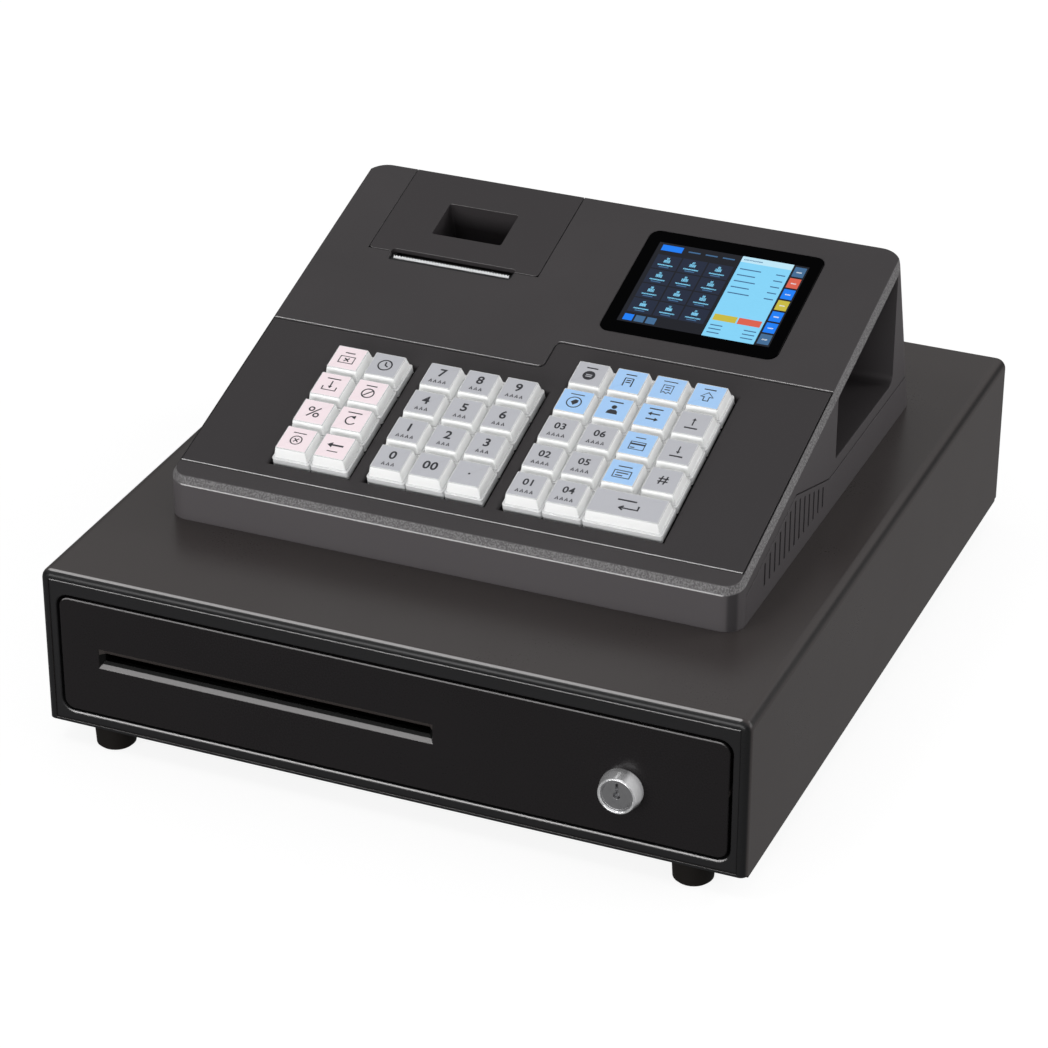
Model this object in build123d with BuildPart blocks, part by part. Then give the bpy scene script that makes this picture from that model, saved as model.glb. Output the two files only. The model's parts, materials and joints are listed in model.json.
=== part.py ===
"""Electronic cash register on a compact steel cash drawer.

Units are millimetres, +Z is up, +X is the operator's right and the front faces -Y.
The origin is the middle of the footprint, on the surface that the rubber feet stand on.
"""

from build123d import *
import math
import os

os.makedirs("parts", exist_ok=True)

# ------------------------------------------------------------------ driving sizes
# Steel cabinet of the cash drawer
cabinet_width = 336.0
cabinet_depth = 374.8
cabinet_height = 77.2
casing_radius = 5.0
casing_front_radius = 3.4
sheet = 1.2
skirt_width = 7.0
skirt_drop = 1.1
rim_width = 4.1
rim_depth = 5.0

# Rubber feet
foot_height = 12.9
foot_top_radius = 9.8
foot_bottom_radius = 9.0
foot_edge = 1.0
foot_side_inset = 27.7
foot_front_inset = 12.0
foot_rear_inset = 26.0

# Bezel round the drawer front
bezel_depth = 17.0
bezel_recess = 0.4
bezel_side_band = 3.1
bezel_top_band = 6.8
bezel_bottom_band = 4.6

# Drawer front and its slot for cheques and vouchers
panel_gap = 1.4
panel_thickness = 5.0
panel_radius = 5.0
slot_side_inset = 29.8
slot_center_height = 36.8
slot_width = 159.0
slot_height = 3.7
slot_bevel_side = 2.4
slot_bevel_height = 3.2
slot_bevel_depth = 2.6

# Steel tray and its slides
slide_space = 16.5
latch_space = 54.5
tray_clear_below = 8.0
tray_height = 56.0
tray_sheet = 1.2
drawer_travel = 250.0
stop_gap = 0.5
stop_width = 12.0
stop_overlap = 3.0
tongue_reach = 6.0
tongue_height = 3.0
tongue_level = 30.0
rail_sheet = 1.5
rail_lip = 1.0

# Till insert: note bays at the back, coin cups in front
insert_side_gap = 1.0
insert_front_gap = 22.0
insert_rear_gap = 2.0
insert_height = 46.0
insert_wall = 2.4
insert_floor_height = 12.0
insert_columns = 4
coin_rows = 2
coin_cup_length = 58.0
coin_scoop_radius = 16.0

# Note clips
clip_width = 16.0
clip_length = 70.0
clip_thickness = 2.0
clip_droop = 14.0
clip_barrel_radius = 3.0
clip_pin_radius = 1.5
clip_pivot_drop = 4.5
clip_ear_thickness = 3.0
clip_side_gap = 0.4

# Cam lock
lock_side_inset = 56.7
lock_height = 31.4
lock_proud = 7.0
lock_flange_radius = 9.8
lock_ring_radius = 8.4
lock_body_radius = 7.9
lock_body_length = 18.0
lock_plug_radius = 6.6
lock_plug_recess = 0.9
lock_cam_length = 38.0
lock_cam_width = 9.0
lock_cam_thickness = 2.0
keyhole_radius = 1.6
keyhole_slot_width = 1.2
keyhole_slot_length = 6.0
keyhole_depth = 4.0

# Drawer latch at the back of the cabinet
latch_x = 60.0
solenoid_width = 34.0
solenoid_depth = 22.0
solenoid_height = 26.0
coil_radius = 9.0
coil_length = 24.0
hook_pin_radius = 2.0
hook_thickness = 3.0
hook_width = 3.0
hook_reach = 21.0
hook_nose = 2.2
hook_play = 0.8
strike_length = 12.0
strike_window = 6.0
strike_thickness = 3.0
strike_flange = 14.0

# Console: a housing with a sloping deck, standing on the cabinet
console_width = 276.6
console_depth = 250.1
console_setback = 66.2
nose_height = 21.3
deck_angle = 16.5
console_corner_radius = 9.0
console_rear_radius = 12.0
console_wall = 3.2
deck_bevel_inset = 2.1
deck_bevel_drop = 3.4
deck_thickness = 2.5
keyboard_deck_thickness = 5.0

# Seam between housing and base on each side, measured from the console's front and bottom
seam_gap = 0.6
seam_front_height = 14.5
seam_peak_back = 72.5
seam_peak_height = 32.7
seam_valley_back = 119.7
seam_valley_height = 17.8
seam_rear_height = 18.2
base_floor = 2.0

# Sockets in the rear wall of the base: power, drawer cable and data
socket_row_x = -70.0
socket_pitch = 24.0
socket_height = 9.5
socket_depth = 11.0
socket_width = 14.0
socket_rise = 11.0
power_socket_radius = 3.2
power_pin_radius = 1.0
jack_size = (11.6, 7.0)
data_size = (12.4, 5.0)

# Cooling slots in the gable of the base
vent_count = 13
vent_pitch = 6.54
vent_first_back = 32.8
vent_width = 1.6
vent_bottom_height = 7.6
vent_top_margin = 2.4

# Open pocket in the right side, under the display
pocket_front_back = 128.0
pocket_length = 84.0
pocket_floor_height = 24.4
pocket_depth = 36.0
pocket_lip = 0.3
pocket_wall = 2.0
pocket_radius = 5.0
pocket_front_radius = 3.0

# Keyboard inlay: its front edge and its stepped back edge, along the deck
inlay_thickness = 3.0
inlay_gap = 0.5
inlay_front = 10.9
inlay_back_left = 113.7
inlay_back_right = 132.0
inlay_step_x = 1.3
inlay_step_radius = 3.0
inlay_ledge = 4.5

# Keys
key_pitch = 19.05
key_group_gap = 9.0
key_group_columns = (2, 3, 4)
key_group_rows = (4, 4, 5)
first_row = 30.9
key_base = 18.3
key_top = 14.9
key_height = 7.2
key_sink = 2.4
key_skirt_rise = 1.6
key_shoulder = 0.5
key_step = 0.4
key_corner = 1.3
key_travel = 3.5
key_stem = 7.0
key_stem_length = 10.5
key_overtravel = 0.6
stem_clearance = 0.3
well_margin = 1.05
key_plate_thickness = 2.0
key_plate_margin = 3.0
well_wall = 2.0
well_rim_radius = 1.6
key_plate_gap = 0.1

# Display
display_x = 60.0
display_center = 182.35
display_width = 87.5
display_length = 74.3
display_radius = 5.0
display_proud = 0.3
display_rebate = 1.5
display_gap = 0.2
display_module_width = 76.0
display_module_length = 64.0
display_module_depth = 6.0

# Receipt printer under its hinged cover
printer_x = -68.8
cover_width = 87.9
cover_front = 172.8
cover_gap = 0.4
cover_thickness = 2.5
cover_corner_radius = 2.0
pull_width = 36.1
pull_length = 23.3
pull_center = 201.25
pull_depth = 24.0
pull_wall = 1.8
pull_radius = 1.2
tear_slot_width = 64.3
tear_slot_front = 166.6
tear_slot_back = 174.8
tear_slot_radius = 2.6
tear_bar_width = 60.0
tear_bar_length = 1.2
tear_bar_center = 170.4
tear_bar_seat = 2.0
tear_bar_rise = 1.4
tear_tooth_pitch = 1.5
tear_tooth_depth = 0.5
hinge_back = 2.4
hinge_drop = 7.0
hinge_barrel_radius = 2.2
hinge_pin_radius = 1.2
hinge_knuckle = 20.0
hinge_ear = 8.0
hinge_side_gap = 0.3
paper_width = 57.0
paper_radius = 20.0
paper_core_radius = 6.0
roll_center = 202.0
roll_drop = 46.0
bucket_clearance = 2.0
bucket_wall = 2.0
bucket_side_gap = 1.5
bucket_front_top = 30.0
printer_flange_thickness = 2.0
printer_flange_overlap = 4.5
platen_radius = 5.0
platen_center = 177.0
platen_drop = 9.4
platen_shaft_radius = 2.0
head_gap = 0.3
head_thickness = 3.0
head_height = 9.0

# Clearances shared by several pairs of pieces
running_fit = 0.05
glide_gap = 0.3
seat_gap = 0.2

# ------------------------------------------------------------------ derived places
front_y = (lock_proud - cabinet_depth) / 2
cabinet_bottom = foot_height
cabinet_top = foot_height + cabinet_height
cabinet_front = Plane(origin=(0, front_y, cabinet_bottom), x_dir=(1, 0, 0), z_dir=(0, -1, 0))

mouth_width = cabinet_width - 2 * rim_width
mouth_top = cabinet_height - rim_width

bezel_width = mouth_width - 2 * seat_gap
bezel_bottom = sheet + seat_gap
bezel_top = mouth_top - seat_gap
opening_width = bezel_width - 2 * bezel_side_band
opening_bottom = bezel_bottom + bezel_bottom_band
opening_top = bezel_top - bezel_top_band
opening_middle = (opening_bottom + opening_top) / 2
panel_width = opening_width - 2 * panel_gap
panel_height = opening_top - opening_bottom - 2 * panel_gap
slot_center_x = slot_side_inset + (slot_width - cabinet_width) / 2
lock_x = cabinet_width / 2 - lock_side_inset

tray_width = cabinet_width - 2 * slide_space
tray_length = cabinet_depth - latch_space
tray_front = bezel_recess + panel_thickness
tray_bottom = sheet + tray_clear_below
tray_middle = tray_bottom + tray_height / 2
tray_back = tray_front + tray_length
tongue_bottom = tray_bottom + tongue_level
tongue_top = tongue_bottom + tongue_height

insert_width = tray_width - 2 * (tray_sheet + insert_side_gap)
insert_front = tray_front + tray_sheet + insert_front_gap
insert_back = tray_back - tray_sheet - insert_rear_gap
insert_length = insert_back - insert_front
insert_bottom = tray_bottom + tray_sheet
insert_top = insert_bottom + insert_height
bay_width = (insert_width - (insert_columns + 1) * insert_wall) / insert_columns
bay_pitch = bay_width + insert_wall
bay_front = insert_front + insert_wall + coin_rows * (coin_cup_length + insert_wall)

clip_axis_back = insert_back - insert_wall - clip_barrel_radius - clip_side_gap
clip_axis_height = insert_top - clip_pivot_drop

console_front = front_y + console_setback
slope_cos = math.cos(math.radians(deck_angle))
slope_sin = math.sin(math.radians(deck_angle))
deck_front_z = cabinet_top + nose_height
deck = Plane(
    origin=(0, console_front, deck_front_z),
    x_dir=(1, 0, 0),
    z_dir=(0, -slope_sin, slope_cos),
)
deck_length = console_depth * slope_cos - nose_height * slope_sin
deck_half_width = console_width / 2 - deck_bevel_inset

key_block_width = sum(key_group_columns) * key_pitch + 2 * key_group_gap
key_plate_top = -(key_sink + key_travel + key_overtravel)

cover_hinge = (deck_length + hinge_back, -hinge_drop)
flange_top = -(deck_thickness + key_plate_gap)
bucket_radius = paper_radius + bucket_clearance
bucket_half = paper_width / 2 + bucket_side_gap


def deck_point(along, above):
    """Y and Z of a point that lies `along` the deck from its front edge and `above` its surface."""
    y = console_front + along * slope_cos - above * slope_sin
    z = deck_front_z + along * slope_sin + above * slope_cos
    return (y, z)


def deck_at_y(y, above):
    """Y and Z where the plane `above` the deck crosses the given Y."""
    return deck_point((y - console_front + above * slope_sin) / slope_cos, above)


def deck_at_z(along, z):
    """Y and Z where the plane square to the deck at `along` crosses the given Z."""
    return deck_point(along, (z - deck_front_z - along * slope_sin) / slope_cos)


def console_point(back, height):
    """Y and Z of a point measured back from the console's front and up from its bottom."""
    return (console_front + back, cabinet_top + height)


def finish(piece, name, *riveted):
    """Label a finished piece, with what is riveted to it, and write its STEP file."""
    shape = piece.part
    if riveted:
        shape = Compound([solid for part in (piece, *riveted) for solid in part.part.solids()])
    shape.label = name
    export_step(shape, f"parts/{name}.step")


# ------------------------------------------------------------------ steel cabinet
with BuildPart() as cabinet_shell:
    with BuildSketch(cabinet_front):
        with Locations((0, cabinet_height / 2)):
            outline = Rectangle(cabinet_width, cabinet_height)
        fillet(outline.vertices().group_by(Axis.Y)[-1], casing_radius)
    extrude(amount=-cabinet_depth)
    front_edges = cabinet_shell.faces().sort_by(Axis.Y)[0].edges()
    fillet(front_edges.sort_by(Axis.Z)[1:], casing_front_radius)
    fillet(cabinet_shell.faces().sort_by(Axis.Y)[-1].edges(), sheet)
    # folded skirts that run under both sides
    skirt_middle = (cabinet_width - skirt_width) / 2
    skirt_length = cabinet_depth - 2 * casing_front_radius
    with BuildSketch(Plane.XY.offset(cabinet_bottom + sheet)):
        with Locations((-skirt_middle, front_y + cabinet_depth / 2), (skirt_middle, front_y + cabinet_depth / 2)):
            Rectangle(skirt_width, skirt_length)
    extrude(amount=-(sheet + skirt_drop))
    # inside of the folded casing
    with BuildSketch(cabinet_front.offset(-rim_depth)):
        with Locations((0, cabinet_height / 2)):
            inside = (cabinet_width - 2 * sheet, cabinet_height - 2 * sheet)
            RectangleRounded(*inside, casing_radius - sheet)
    extrude(amount=-(cabinet_depth - rim_depth - sheet), mode=Mode.SUBTRACT)
    # mouth inside the rolled front rim
    with BuildSketch(cabinet_front):
        with Locations((0, (sheet + mouth_top) / 2)):
            Rectangle(mouth_width, mouth_top - sheet)
    extrude(amount=-rim_depth, mode=Mode.SUBTRACT)
    # channel rails welded to both sides, round the tongues of the tray
    rail_inner = tray_width / 2 + rail_lip
    rail_outer = cabinet_width / 2 - sheet
    rail_low = tongue_bottom - glide_gap - rail_sheet
    rail_high = tongue_top + glide_gap + rail_sheet
    with BuildSketch(cabinet_front.offset(-(bezel_depth + rail_sheet))):
        for side in (-1, 1):
            with Locations((side * (rail_inner + rail_outer) / 2, (rail_low + rail_high) / 2)):
                Rectangle(rail_outer - rail_inner, rail_high - rail_low)
            with Locations((side * (rail_inner + rail_outer - rail_sheet) / 2, (rail_low + rail_high) / 2)):
                groove = (rail_outer - rail_sheet - rail_inner, tongue_height + 2 * glide_gap)
                Rectangle(*groove, mode=Mode.SUBTRACT)
    extrude(amount=-(tray_length - bezel_depth))
    # tabs under the roof that stop the back of the tray when the drawer is fully open
    stop_back = tray_back - tray_sheet - drawer_travel - stop_gap
    stop_low = tray_bottom + tray_height - stop_overlap
    stop_high = cabinet_height - sheet
    with BuildSketch(cabinet_front.offset(-stop_back)):
        with Locations((-bay_pitch, (stop_low + stop_high) / 2), (bay_pitch, (stop_low + stop_high) / 2)):
            Rectangle(stop_width, stop_high - stop_low)
    extrude(amount=rail_sheet)
finish(cabinet_shell, "cabinet_shell")

with BuildPart() as front_frame:
    with BuildSketch(cabinet_front.offset(-bezel_recess)):
        with Locations((0, (bezel_bottom + bezel_top) / 2)):
            Rectangle(bezel_width, bezel_top - bezel_bottom)
        with Locations((0, opening_middle)):
            opening_height = opening_top - opening_bottom
            RectangleRounded(opening_width, opening_height, panel_radius + panel_gap, mode=Mode.SUBTRACT)
    extrude(amount=-(bezel_depth - bezel_recess))
    chamfer(front_frame.faces().sort_by(Axis.Y)[0].inner_wires()[0].edges(), bezel_recess)
finish(front_frame, "front_frame")

with BuildPart() as rubber_feet:
    foot_x = cabinet_width / 2 - foot_side_inset
    foot_rows = (front_y + foot_front_inset, front_y + cabinet_depth - foot_rear_inset)
    foot_spots = [(x, y) for x in (-foot_x, foot_x) for y in foot_rows]
    with BuildSketch(Plane.XY):
        with Locations(*foot_spots):
            Circle(foot_bottom_radius)
    foot_draft = math.degrees(math.atan2(foot_top_radius - foot_bottom_radius, foot_height))
    extrude(amount=foot_height, taper=-foot_draft)
    chamfer(rubber_feet.faces().group_by(Axis.Z)[0].edges(), foot_edge)
finish(rubber_feet, "rubber_feet")

# ------------------------------------------------------------------ cash drawer
with BuildPart() as drawer_front:
    with BuildSketch(cabinet_front.offset(-bezel_recess)):
        with Locations((0, opening_middle)):
            RectangleRounded(panel_width, panel_height, panel_radius)
    extrude(amount=-panel_thickness)
    chamfer(drawer_front.faces().sort_by(Axis.Y)[0].edges(), bezel_recess)
    # bevelled mouth of the cheque slot, then the slot itself
    slot_place = (slot_center_x, slot_center_height)
    with BuildSketch(cabinet_front.offset(-bezel_recess)):
        with Locations(slot_place):
            Rectangle(slot_width + 2 * slot_bevel_side, slot_height + 2 * slot_bevel_height)
    with BuildSketch(cabinet_front.offset(-(bezel_recess + slot_bevel_depth))):
        with Locations(slot_place):
            Rectangle(slot_width, slot_height)
    loft(mode=Mode.SUBTRACT)
    with BuildSketch(cabinet_front.offset(-bezel_recess)):
        with Locations(slot_place):
            Rectangle(slot_width, slot_height)
        with Locations((lock_x, lock_height)):
            Circle(lock_body_radius + running_fit)
    extrude(amount=-panel_thickness, mode=Mode.SUBTRACT)
finish(drawer_front, "drawer_front")

with BuildPart() as drawer_tray:
    with BuildSketch(cabinet_front.offset(-tray_front)):
        with Locations((0, tray_middle)):
            Rectangle(tray_width, tray_height)
    extrude(amount=-tray_length)
    # open top
    with BuildSketch(Plane.XY.offset(cabinet_bottom + tray_bottom + tray_sheet)):
        with Locations((0, front_y + tray_front + tray_length / 2)):
            Rectangle(tray_width - 2 * tray_sheet, tray_length - 2 * tray_sheet)
    extrude(amount=tray_height, mode=Mode.SUBTRACT)
    # tongues that run in the rails
    tongue_x = (tray_width + tongue_reach) / 2
    with BuildSketch(cabinet_front.offset(-tray_front)):
        for side in (-1, 1):
            with Locations((side * tongue_x, (tongue_bottom + tongue_top) / 2)):
                Rectangle(tongue_reach, tongue_height)
    extrude(amount=-tray_length)
    # cut-outs behind the cheque slot and round the lock
    with BuildSketch(cabinet_front.offset(-tray_front)):
        with Locations((slot_center_x, slot_center_height)):
            Rectangle(slot_width + 2 * slot_bevel_side, slot_height + 2 * slot_bevel_height)
        with Locations((lock_x, lock_height)):
            Circle(lock_body_radius + running_fit)
    extrude(amount=-tray_sheet, mode=Mode.SUBTRACT)

# strike for the latch: a windowed plate on a flange, riveted to the back of the tray
strike_x = latch_x + hook_width / 2 + hook_nose + hook_play
with BuildPart() as latch_strike:
    with BuildSketch(Plane.YZ.offset(strike_x)):
        with Locations((front_y + tray_back + strike_length / 2, cabinet_bottom + tray_middle)):
            Rectangle(strike_length, strike_length)
            Rectangle(strike_window, strike_window, mode=Mode.SUBTRACT)
    extrude(amount=strike_thickness)
    with BuildSketch(cabinet_front.offset(-tray_back)):
        with Locations((strike_x + strike_flange / 2, tray_middle)):
            Rectangle(strike_flange, strike_length)
    extrude(amount=-tray_sheet)
finish(drawer_tray, "drawer_tray", latch_strike)

with BuildPart() as till_insert:
    with BuildSketch(Plane.XY.offset(cabinet_bottom + insert_bottom)):
        with Locations((0, front_y + (insert_front + insert_back) / 2)):
            Rectangle(insert_width, insert_length)
    extrude(amount=insert_height)
    # space underneath for cheques, open to the front
    with BuildSketch(Plane.XY.offset(cabinet_bottom + insert_bottom)):
        with Locations((0, front_y + (insert_front + insert_back) / 2)):
            Rectangle(insert_width - 2 * insert_wall, insert_length)
    extrude(amount=insert_floor_height - insert_wall, mode=Mode.SUBTRACT)
    for column in range(insert_columns):
        bay_x = (column - (insert_columns - 1) / 2) * bay_pitch
        # note bay
        with BuildSketch(Plane.XY.offset(cabinet_bottom + insert_bottom + insert_floor_height)):
            with Locations((bay_x, front_y + (bay_front + insert_back - insert_wall) / 2)):
                Rectangle(bay_width, insert_back - insert_wall - bay_front)
        extrude(amount=insert_height, mode=Mode.SUBTRACT)
        # coin cups with scooped floors
        for row in range(coin_rows):
            cup_front = front_y + insert_front + insert_wall + row * (coin_cup_length + insert_wall)
            cup_floor = cabinet_bottom + insert_bottom + insert_floor_height
            cup_top = cabinet_bottom + insert_top
            with BuildSketch(Plane.YZ.offset(bay_x - bay_width / 2)) as cup:
                with Locations((cup_front + coin_cup_length / 2, (cup_floor + cup_top) / 2)):
                    Rectangle(coin_cup_length, cup_top - cup_floor)
                fillet(cup.vertices().group_by(Axis.Y)[0], coin_scoop_radius)
            extrude(amount=bay_width, mode=Mode.SUBTRACT)
        # ears and pin of the note clip
        ear_offset = (clip_width + clip_ear_thickness) / 2 + clip_side_gap
        for side in (-1, 1):
            ear_x = bay_x + side * ear_offset
            ear_y = front_y + clip_axis_back
            with BuildSketch(Plane.YZ.offset(ear_x - clip_ear_thickness / 2)):
                with Locations((ear_y, cabinet_bottom + clip_axis_height)):
                    Circle(clip_barrel_radius)
                ear_length = insert_back - insert_wall / 2 - clip_axis_back
                with Locations((ear_y + ear_length / 2, cabinet_bottom + clip_axis_height)):
                    Rectangle(ear_length, 2 * clip_barrel_radius)
            extrude(amount=clip_ear_thickness)
        with BuildSketch(Plane.YZ.offset(bay_x - ear_offset)):
            with Locations((front_y + clip_axis_back, cabinet_bottom + clip_axis_height)):
                Circle(clip_pin_radius)
        extrude(amount=2 * ear_offset)
finish(till_insert, "till_insert")

with BuildPart() as note_clips:
    for column in range(insert_columns):
        bay_x = (column - (insert_columns - 1) / 2) * bay_pitch
        axis_y = front_y + clip_axis_back
        axis_z = cabinet_bottom + clip_axis_height
        with BuildSketch(Plane.YZ.offset(bay_x - clip_width / 2)):
            with BuildLine():
                tip = (axis_y - clip_length, axis_z - clip_droop)
                Polyline(
                    (axis_y, axis_z + clip_barrel_radius),
                    (tip[0], tip[1] + clip_thickness),
                    (tip[0] - clip_barrel_radius, tip[1] + 2 * clip_thickness),
                    (tip[0] - clip_barrel_radius, tip[1] + clip_thickness),
                    tip,
                    (axis_y, axis_z + clip_barrel_radius - clip_thickness),
                    close=True,
                )
            make_face()
            with Locations((axis_y, axis_z)):
                Circle(clip_barrel_radius)
                Circle(clip_pin_radius + running_fit, mode=Mode.SUBTRACT)
        extrude(amount=clip_width)
finish(note_clips, "note_clips")

# ------------------------------------------------------------------ cam lock
lock_axis = Plane(
    origin=(lock_x, front_y + bezel_recess, cabinet_bottom + lock_height),
    x_dir=(1, 0, 0),
    z_dir=(0, -1, 0),
)
lock_face = lock_proud + bezel_recess
lock_bore = lock_plug_radius + running_fit
with BuildPart() as lock_barrel:
    with BuildSketch(lock_axis):
        Circle(lock_flange_radius)
    extrude(amount=lock_face)
    flange_face = lock_barrel.faces().sort_by(Axis.Y)[0]
    flange_slant = lock_flange_radius - lock_ring_radius
    chamfer(flange_face.edges(), flange_slant, lock_face / 2, reference=flange_face)
    with BuildSketch(lock_axis):
        Circle(lock_body_radius)
    extrude(amount=-lock_body_length)
    with BuildSketch(lock_axis.offset(lock_face)):
        Circle(lock_bore)
    extrude(amount=-(lock_face + lock_body_length), mode=Mode.SUBTRACT)
finish(lock_barrel, "lock_barrel")

with BuildPart() as lock_plug:
    with BuildSketch(lock_axis.offset(lock_face - lock_plug_recess)):
        Circle(lock_plug_radius)
    plug_length = lock_face - lock_plug_recess + lock_body_length + glide_gap
    extrude(amount=-plug_length)
    # keyhole: a round with a slot above it
    with BuildSketch(lock_axis.offset(lock_face - lock_plug_recess)):
        Circle(keyhole_radius)
        with Locations((0, keyhole_slot_length / 2)):
            Rectangle(keyhole_slot_width, keyhole_slot_length)
    extrude(amount=-keyhole_depth, mode=Mode.SUBTRACT)
    # cam, level while the drawer is unlocked
    with BuildSketch(lock_axis.offset(-(lock_body_length + glide_gap))):
        Circle(lock_plug_radius)
        with Locations((-lock_cam_length / 2, 0)):
            Rectangle(lock_cam_length, lock_cam_width)
    extrude(amount=-lock_cam_thickness)
finish(lock_plug, "lock_plug")

# ------------------------------------------------------------------ drawer latch
latch_floor = cabinet_bottom + sheet
hook_axis_y = front_y + tray_back + hook_reach
hook_level = cabinet_bottom + tray_middle - hook_thickness / 2
with BuildPart() as latch_solenoid:
    # bracket folded up from the cabinet floor, behind the tray
    bracket_middle = (latch_x + coil_radius, hook_axis_y + hook_pin_radius)
    with BuildSketch(Plane.XY.offset(latch_floor)):
        with Locations(bracket_middle):
            Rectangle(solenoid_width, solenoid_depth)
    extrude(amount=tray_sheet)
    with BuildSketch(Plane.XY.offset(latch_floor)):
        with Locations((bracket_middle[0], bracket_middle[1] + (solenoid_depth - tray_sheet) / 2)):
            Rectangle(solenoid_width, tray_sheet)
    extrude(amount=solenoid_height)
    # coil, and the fixed pin that the hook turns on
    with BuildSketch(Plane.XY.offset(latch_floor + tray_sheet)):
        with Locations((bracket_middle[0] + (solenoid_width - 2 * coil_radius) / 2, bracket_middle[1])):
            Circle(coil_radius)
    extrude(amount=coil_length)
    with BuildSketch(Plane.XY.offset(latch_floor)):
        with Locations((latch_x, hook_axis_y)):
            Circle(hook_pin_radius * 2)
    extrude(amount=hook_level - glide_gap - latch_floor)
    with BuildSketch(Plane.XY.offset(hook_level - glide_gap)):
        with Locations((latch_x, hook_axis_y)):
            Circle(hook_pin_radius)
    extrude(amount=hook_thickness + 2 * glide_gap)
finish(latch_solenoid, "latch_solenoid")

hook_tip_y = front_y + tray_back + (strike_length - strike_window / 2) / 2
with BuildPart() as latch_hook:
    with BuildSketch(Plane.XY.offset(hook_level)):
        with Locations((latch_x, hook_axis_y)):
            Circle(hook_pin_radius * 2)
        with Locations((latch_x, (hook_axis_y + hook_tip_y) / 2)):
            Rectangle(hook_width, hook_axis_y - hook_tip_y)
        # nose that swings into the window of the strike
        with Locations((latch_x + (hook_width + hook_nose) / 2, hook_tip_y + hook_width / 2)):
            Rectangle(hook_nose, hook_width)
        with Locations((latch_x, hook_axis_y)):
            Circle(hook_pin_radius + running_fit, mode=Mode.SUBTRACT)
    extrude(amount=hook_thickness)
finish(latch_hook, "latch_hook")

# ------------------------------------------------------------------ console base
seam_line = [
    console_point(console_corner_radius, seam_front_height),
    console_point(seam_peak_back, seam_peak_height),
    console_point(seam_valley_back, seam_valley_height),
    deck_at_z(deck_length, cabinet_top + seam_rear_height),
]
inner_half = console_width / 2 - console_wall
# outline of the console square to its deck, with the rear corners rounded
with BuildSketch(deck) as console_outline:
    with Locations((0, deck_length - console_depth)):
        Rectangle(console_width, 2 * console_depth)
    fillet(console_outline.vertices().group_by(Axis.Y)[-1], console_rear_radius)
# the same for the hollow inside its walls
inner_radius = console_rear_radius - console_wall
with BuildSketch(deck) as console_core:
    with Locations((0, deck_length - console_wall - console_depth)):
        Rectangle(2 * inner_half, 2 * console_depth)
    fillet(console_core.vertices().group_by(Axis.Y)[-1], inner_radius)


def gable_height(back):
    """Height of the side seam above the console's bottom, at a distance back from its front."""
    if back < seam_peak_back:
        rise = (seam_peak_height - seam_front_height) / (seam_peak_back - console_corner_radius)
        return seam_front_height + (back - console_corner_radius) * rise
    fall = (seam_peak_height - seam_valley_height) / (seam_valley_back - seam_peak_back)
    return seam_peak_height - (back - seam_peak_back) * fall


# open tub between the side walls and the rear wall
with BuildPart() as base_tub:
    with BuildSketch(Plane.YZ):
        Polygon(
            [
                console_point(0, base_floor),
                console_point(0, console_depth),
                deck_at_z(deck_length - console_wall, cabinet_top + console_depth),
                deck_at_z(deck_length - console_wall, cabinet_top + base_floor),
            ]
        )
    extrude(amount=inner_half, both=True)
    extrude(console_core.sketch, amount=console_depth, both=True, mode=Mode.INTERSECT)

with BuildPart() as console_base:
    with BuildSketch(Plane.YZ):
        Polygon(
            [console_point(console_corner_radius, 0)]
            + seam_line
            + [deck_at_z(deck_length, cabinet_top)]
        )
    extrude(amount=console_width / 2, both=True)
    extrude(console_outline.sketch, amount=console_depth, both=True, mode=Mode.INTERSECT)
    add(base_tub.part, mode=Mode.SUBTRACT)
    # sockets in blocks behind the rear wall
    rear_wall = Plane(
        origin=(0, *deck_at_z(deck_length, cabinet_top + socket_height)),
        x_dir=(-1, 0, 0),
        z_dir=(0, slope_cos, slope_sin),
    )
    socket_spots = [(-socket_row_x + place * socket_pitch, 0) for place in (-1, 0, 1)]
    with BuildSketch(rear_wall):
        with Locations(*socket_spots):
            Rectangle(socket_width, socket_rise)
    extrude(amount=-socket_depth)
    with BuildSketch(rear_wall):
        with Locations(socket_spots[0]):
            Circle(power_socket_radius)
        with Locations(socket_spots[1]):
            Rectangle(*jack_size)
        with Locations(socket_spots[2]):
            Rectangle(*data_size)
    extrude(amount=-(socket_depth - base_floor), mode=Mode.SUBTRACT)
    with BuildSketch(rear_wall.offset(-socket_depth)):
        with Locations(socket_spots[0]):
            Circle(power_pin_radius)
    extrude(amount=socket_depth - base_floor)
    # floor carried forward to the front wall of the housing
    floor_front = console_front + console_wall + seat_gap
    floor_back = console_front + console_corner_radius
    with BuildSketch(Plane.XY.offset(cabinet_top)):
        with Locations((0, (floor_front + floor_back) / 2)):
            Rectangle(2 * (inner_half - console_wall), floor_back - floor_front)
    extrude(amount=base_floor)
    # cooling slots under the gable of each side
    with BuildSketch(Plane.YZ):
        for slot in range(vent_count):
            slot_back = vent_first_back + slot * vent_pitch
            slot_top = gable_height(slot_back) - vent_top_margin
            with Locations(console_point(slot_back, (vent_bottom_height + slot_top) / 2)):
                Rectangle(vent_width, slot_top - vent_bottom_height)
    extrude(amount=console_width / 2, both=True, mode=Mode.SUBTRACT)
finish(console_base, "console_base")

# ------------------------------------------------------------------ console housing
pocket_back_y = console_front + pocket_front_back + pocket_length
pocket_front_y = console_front + pocket_front_back
pocket_floor_z = cabinet_top + pocket_floor_height
pocket_ceiling = -(deck_bevel_drop + pocket_lip)
pocket_inner_x = console_width / 2 - pocket_depth


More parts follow.
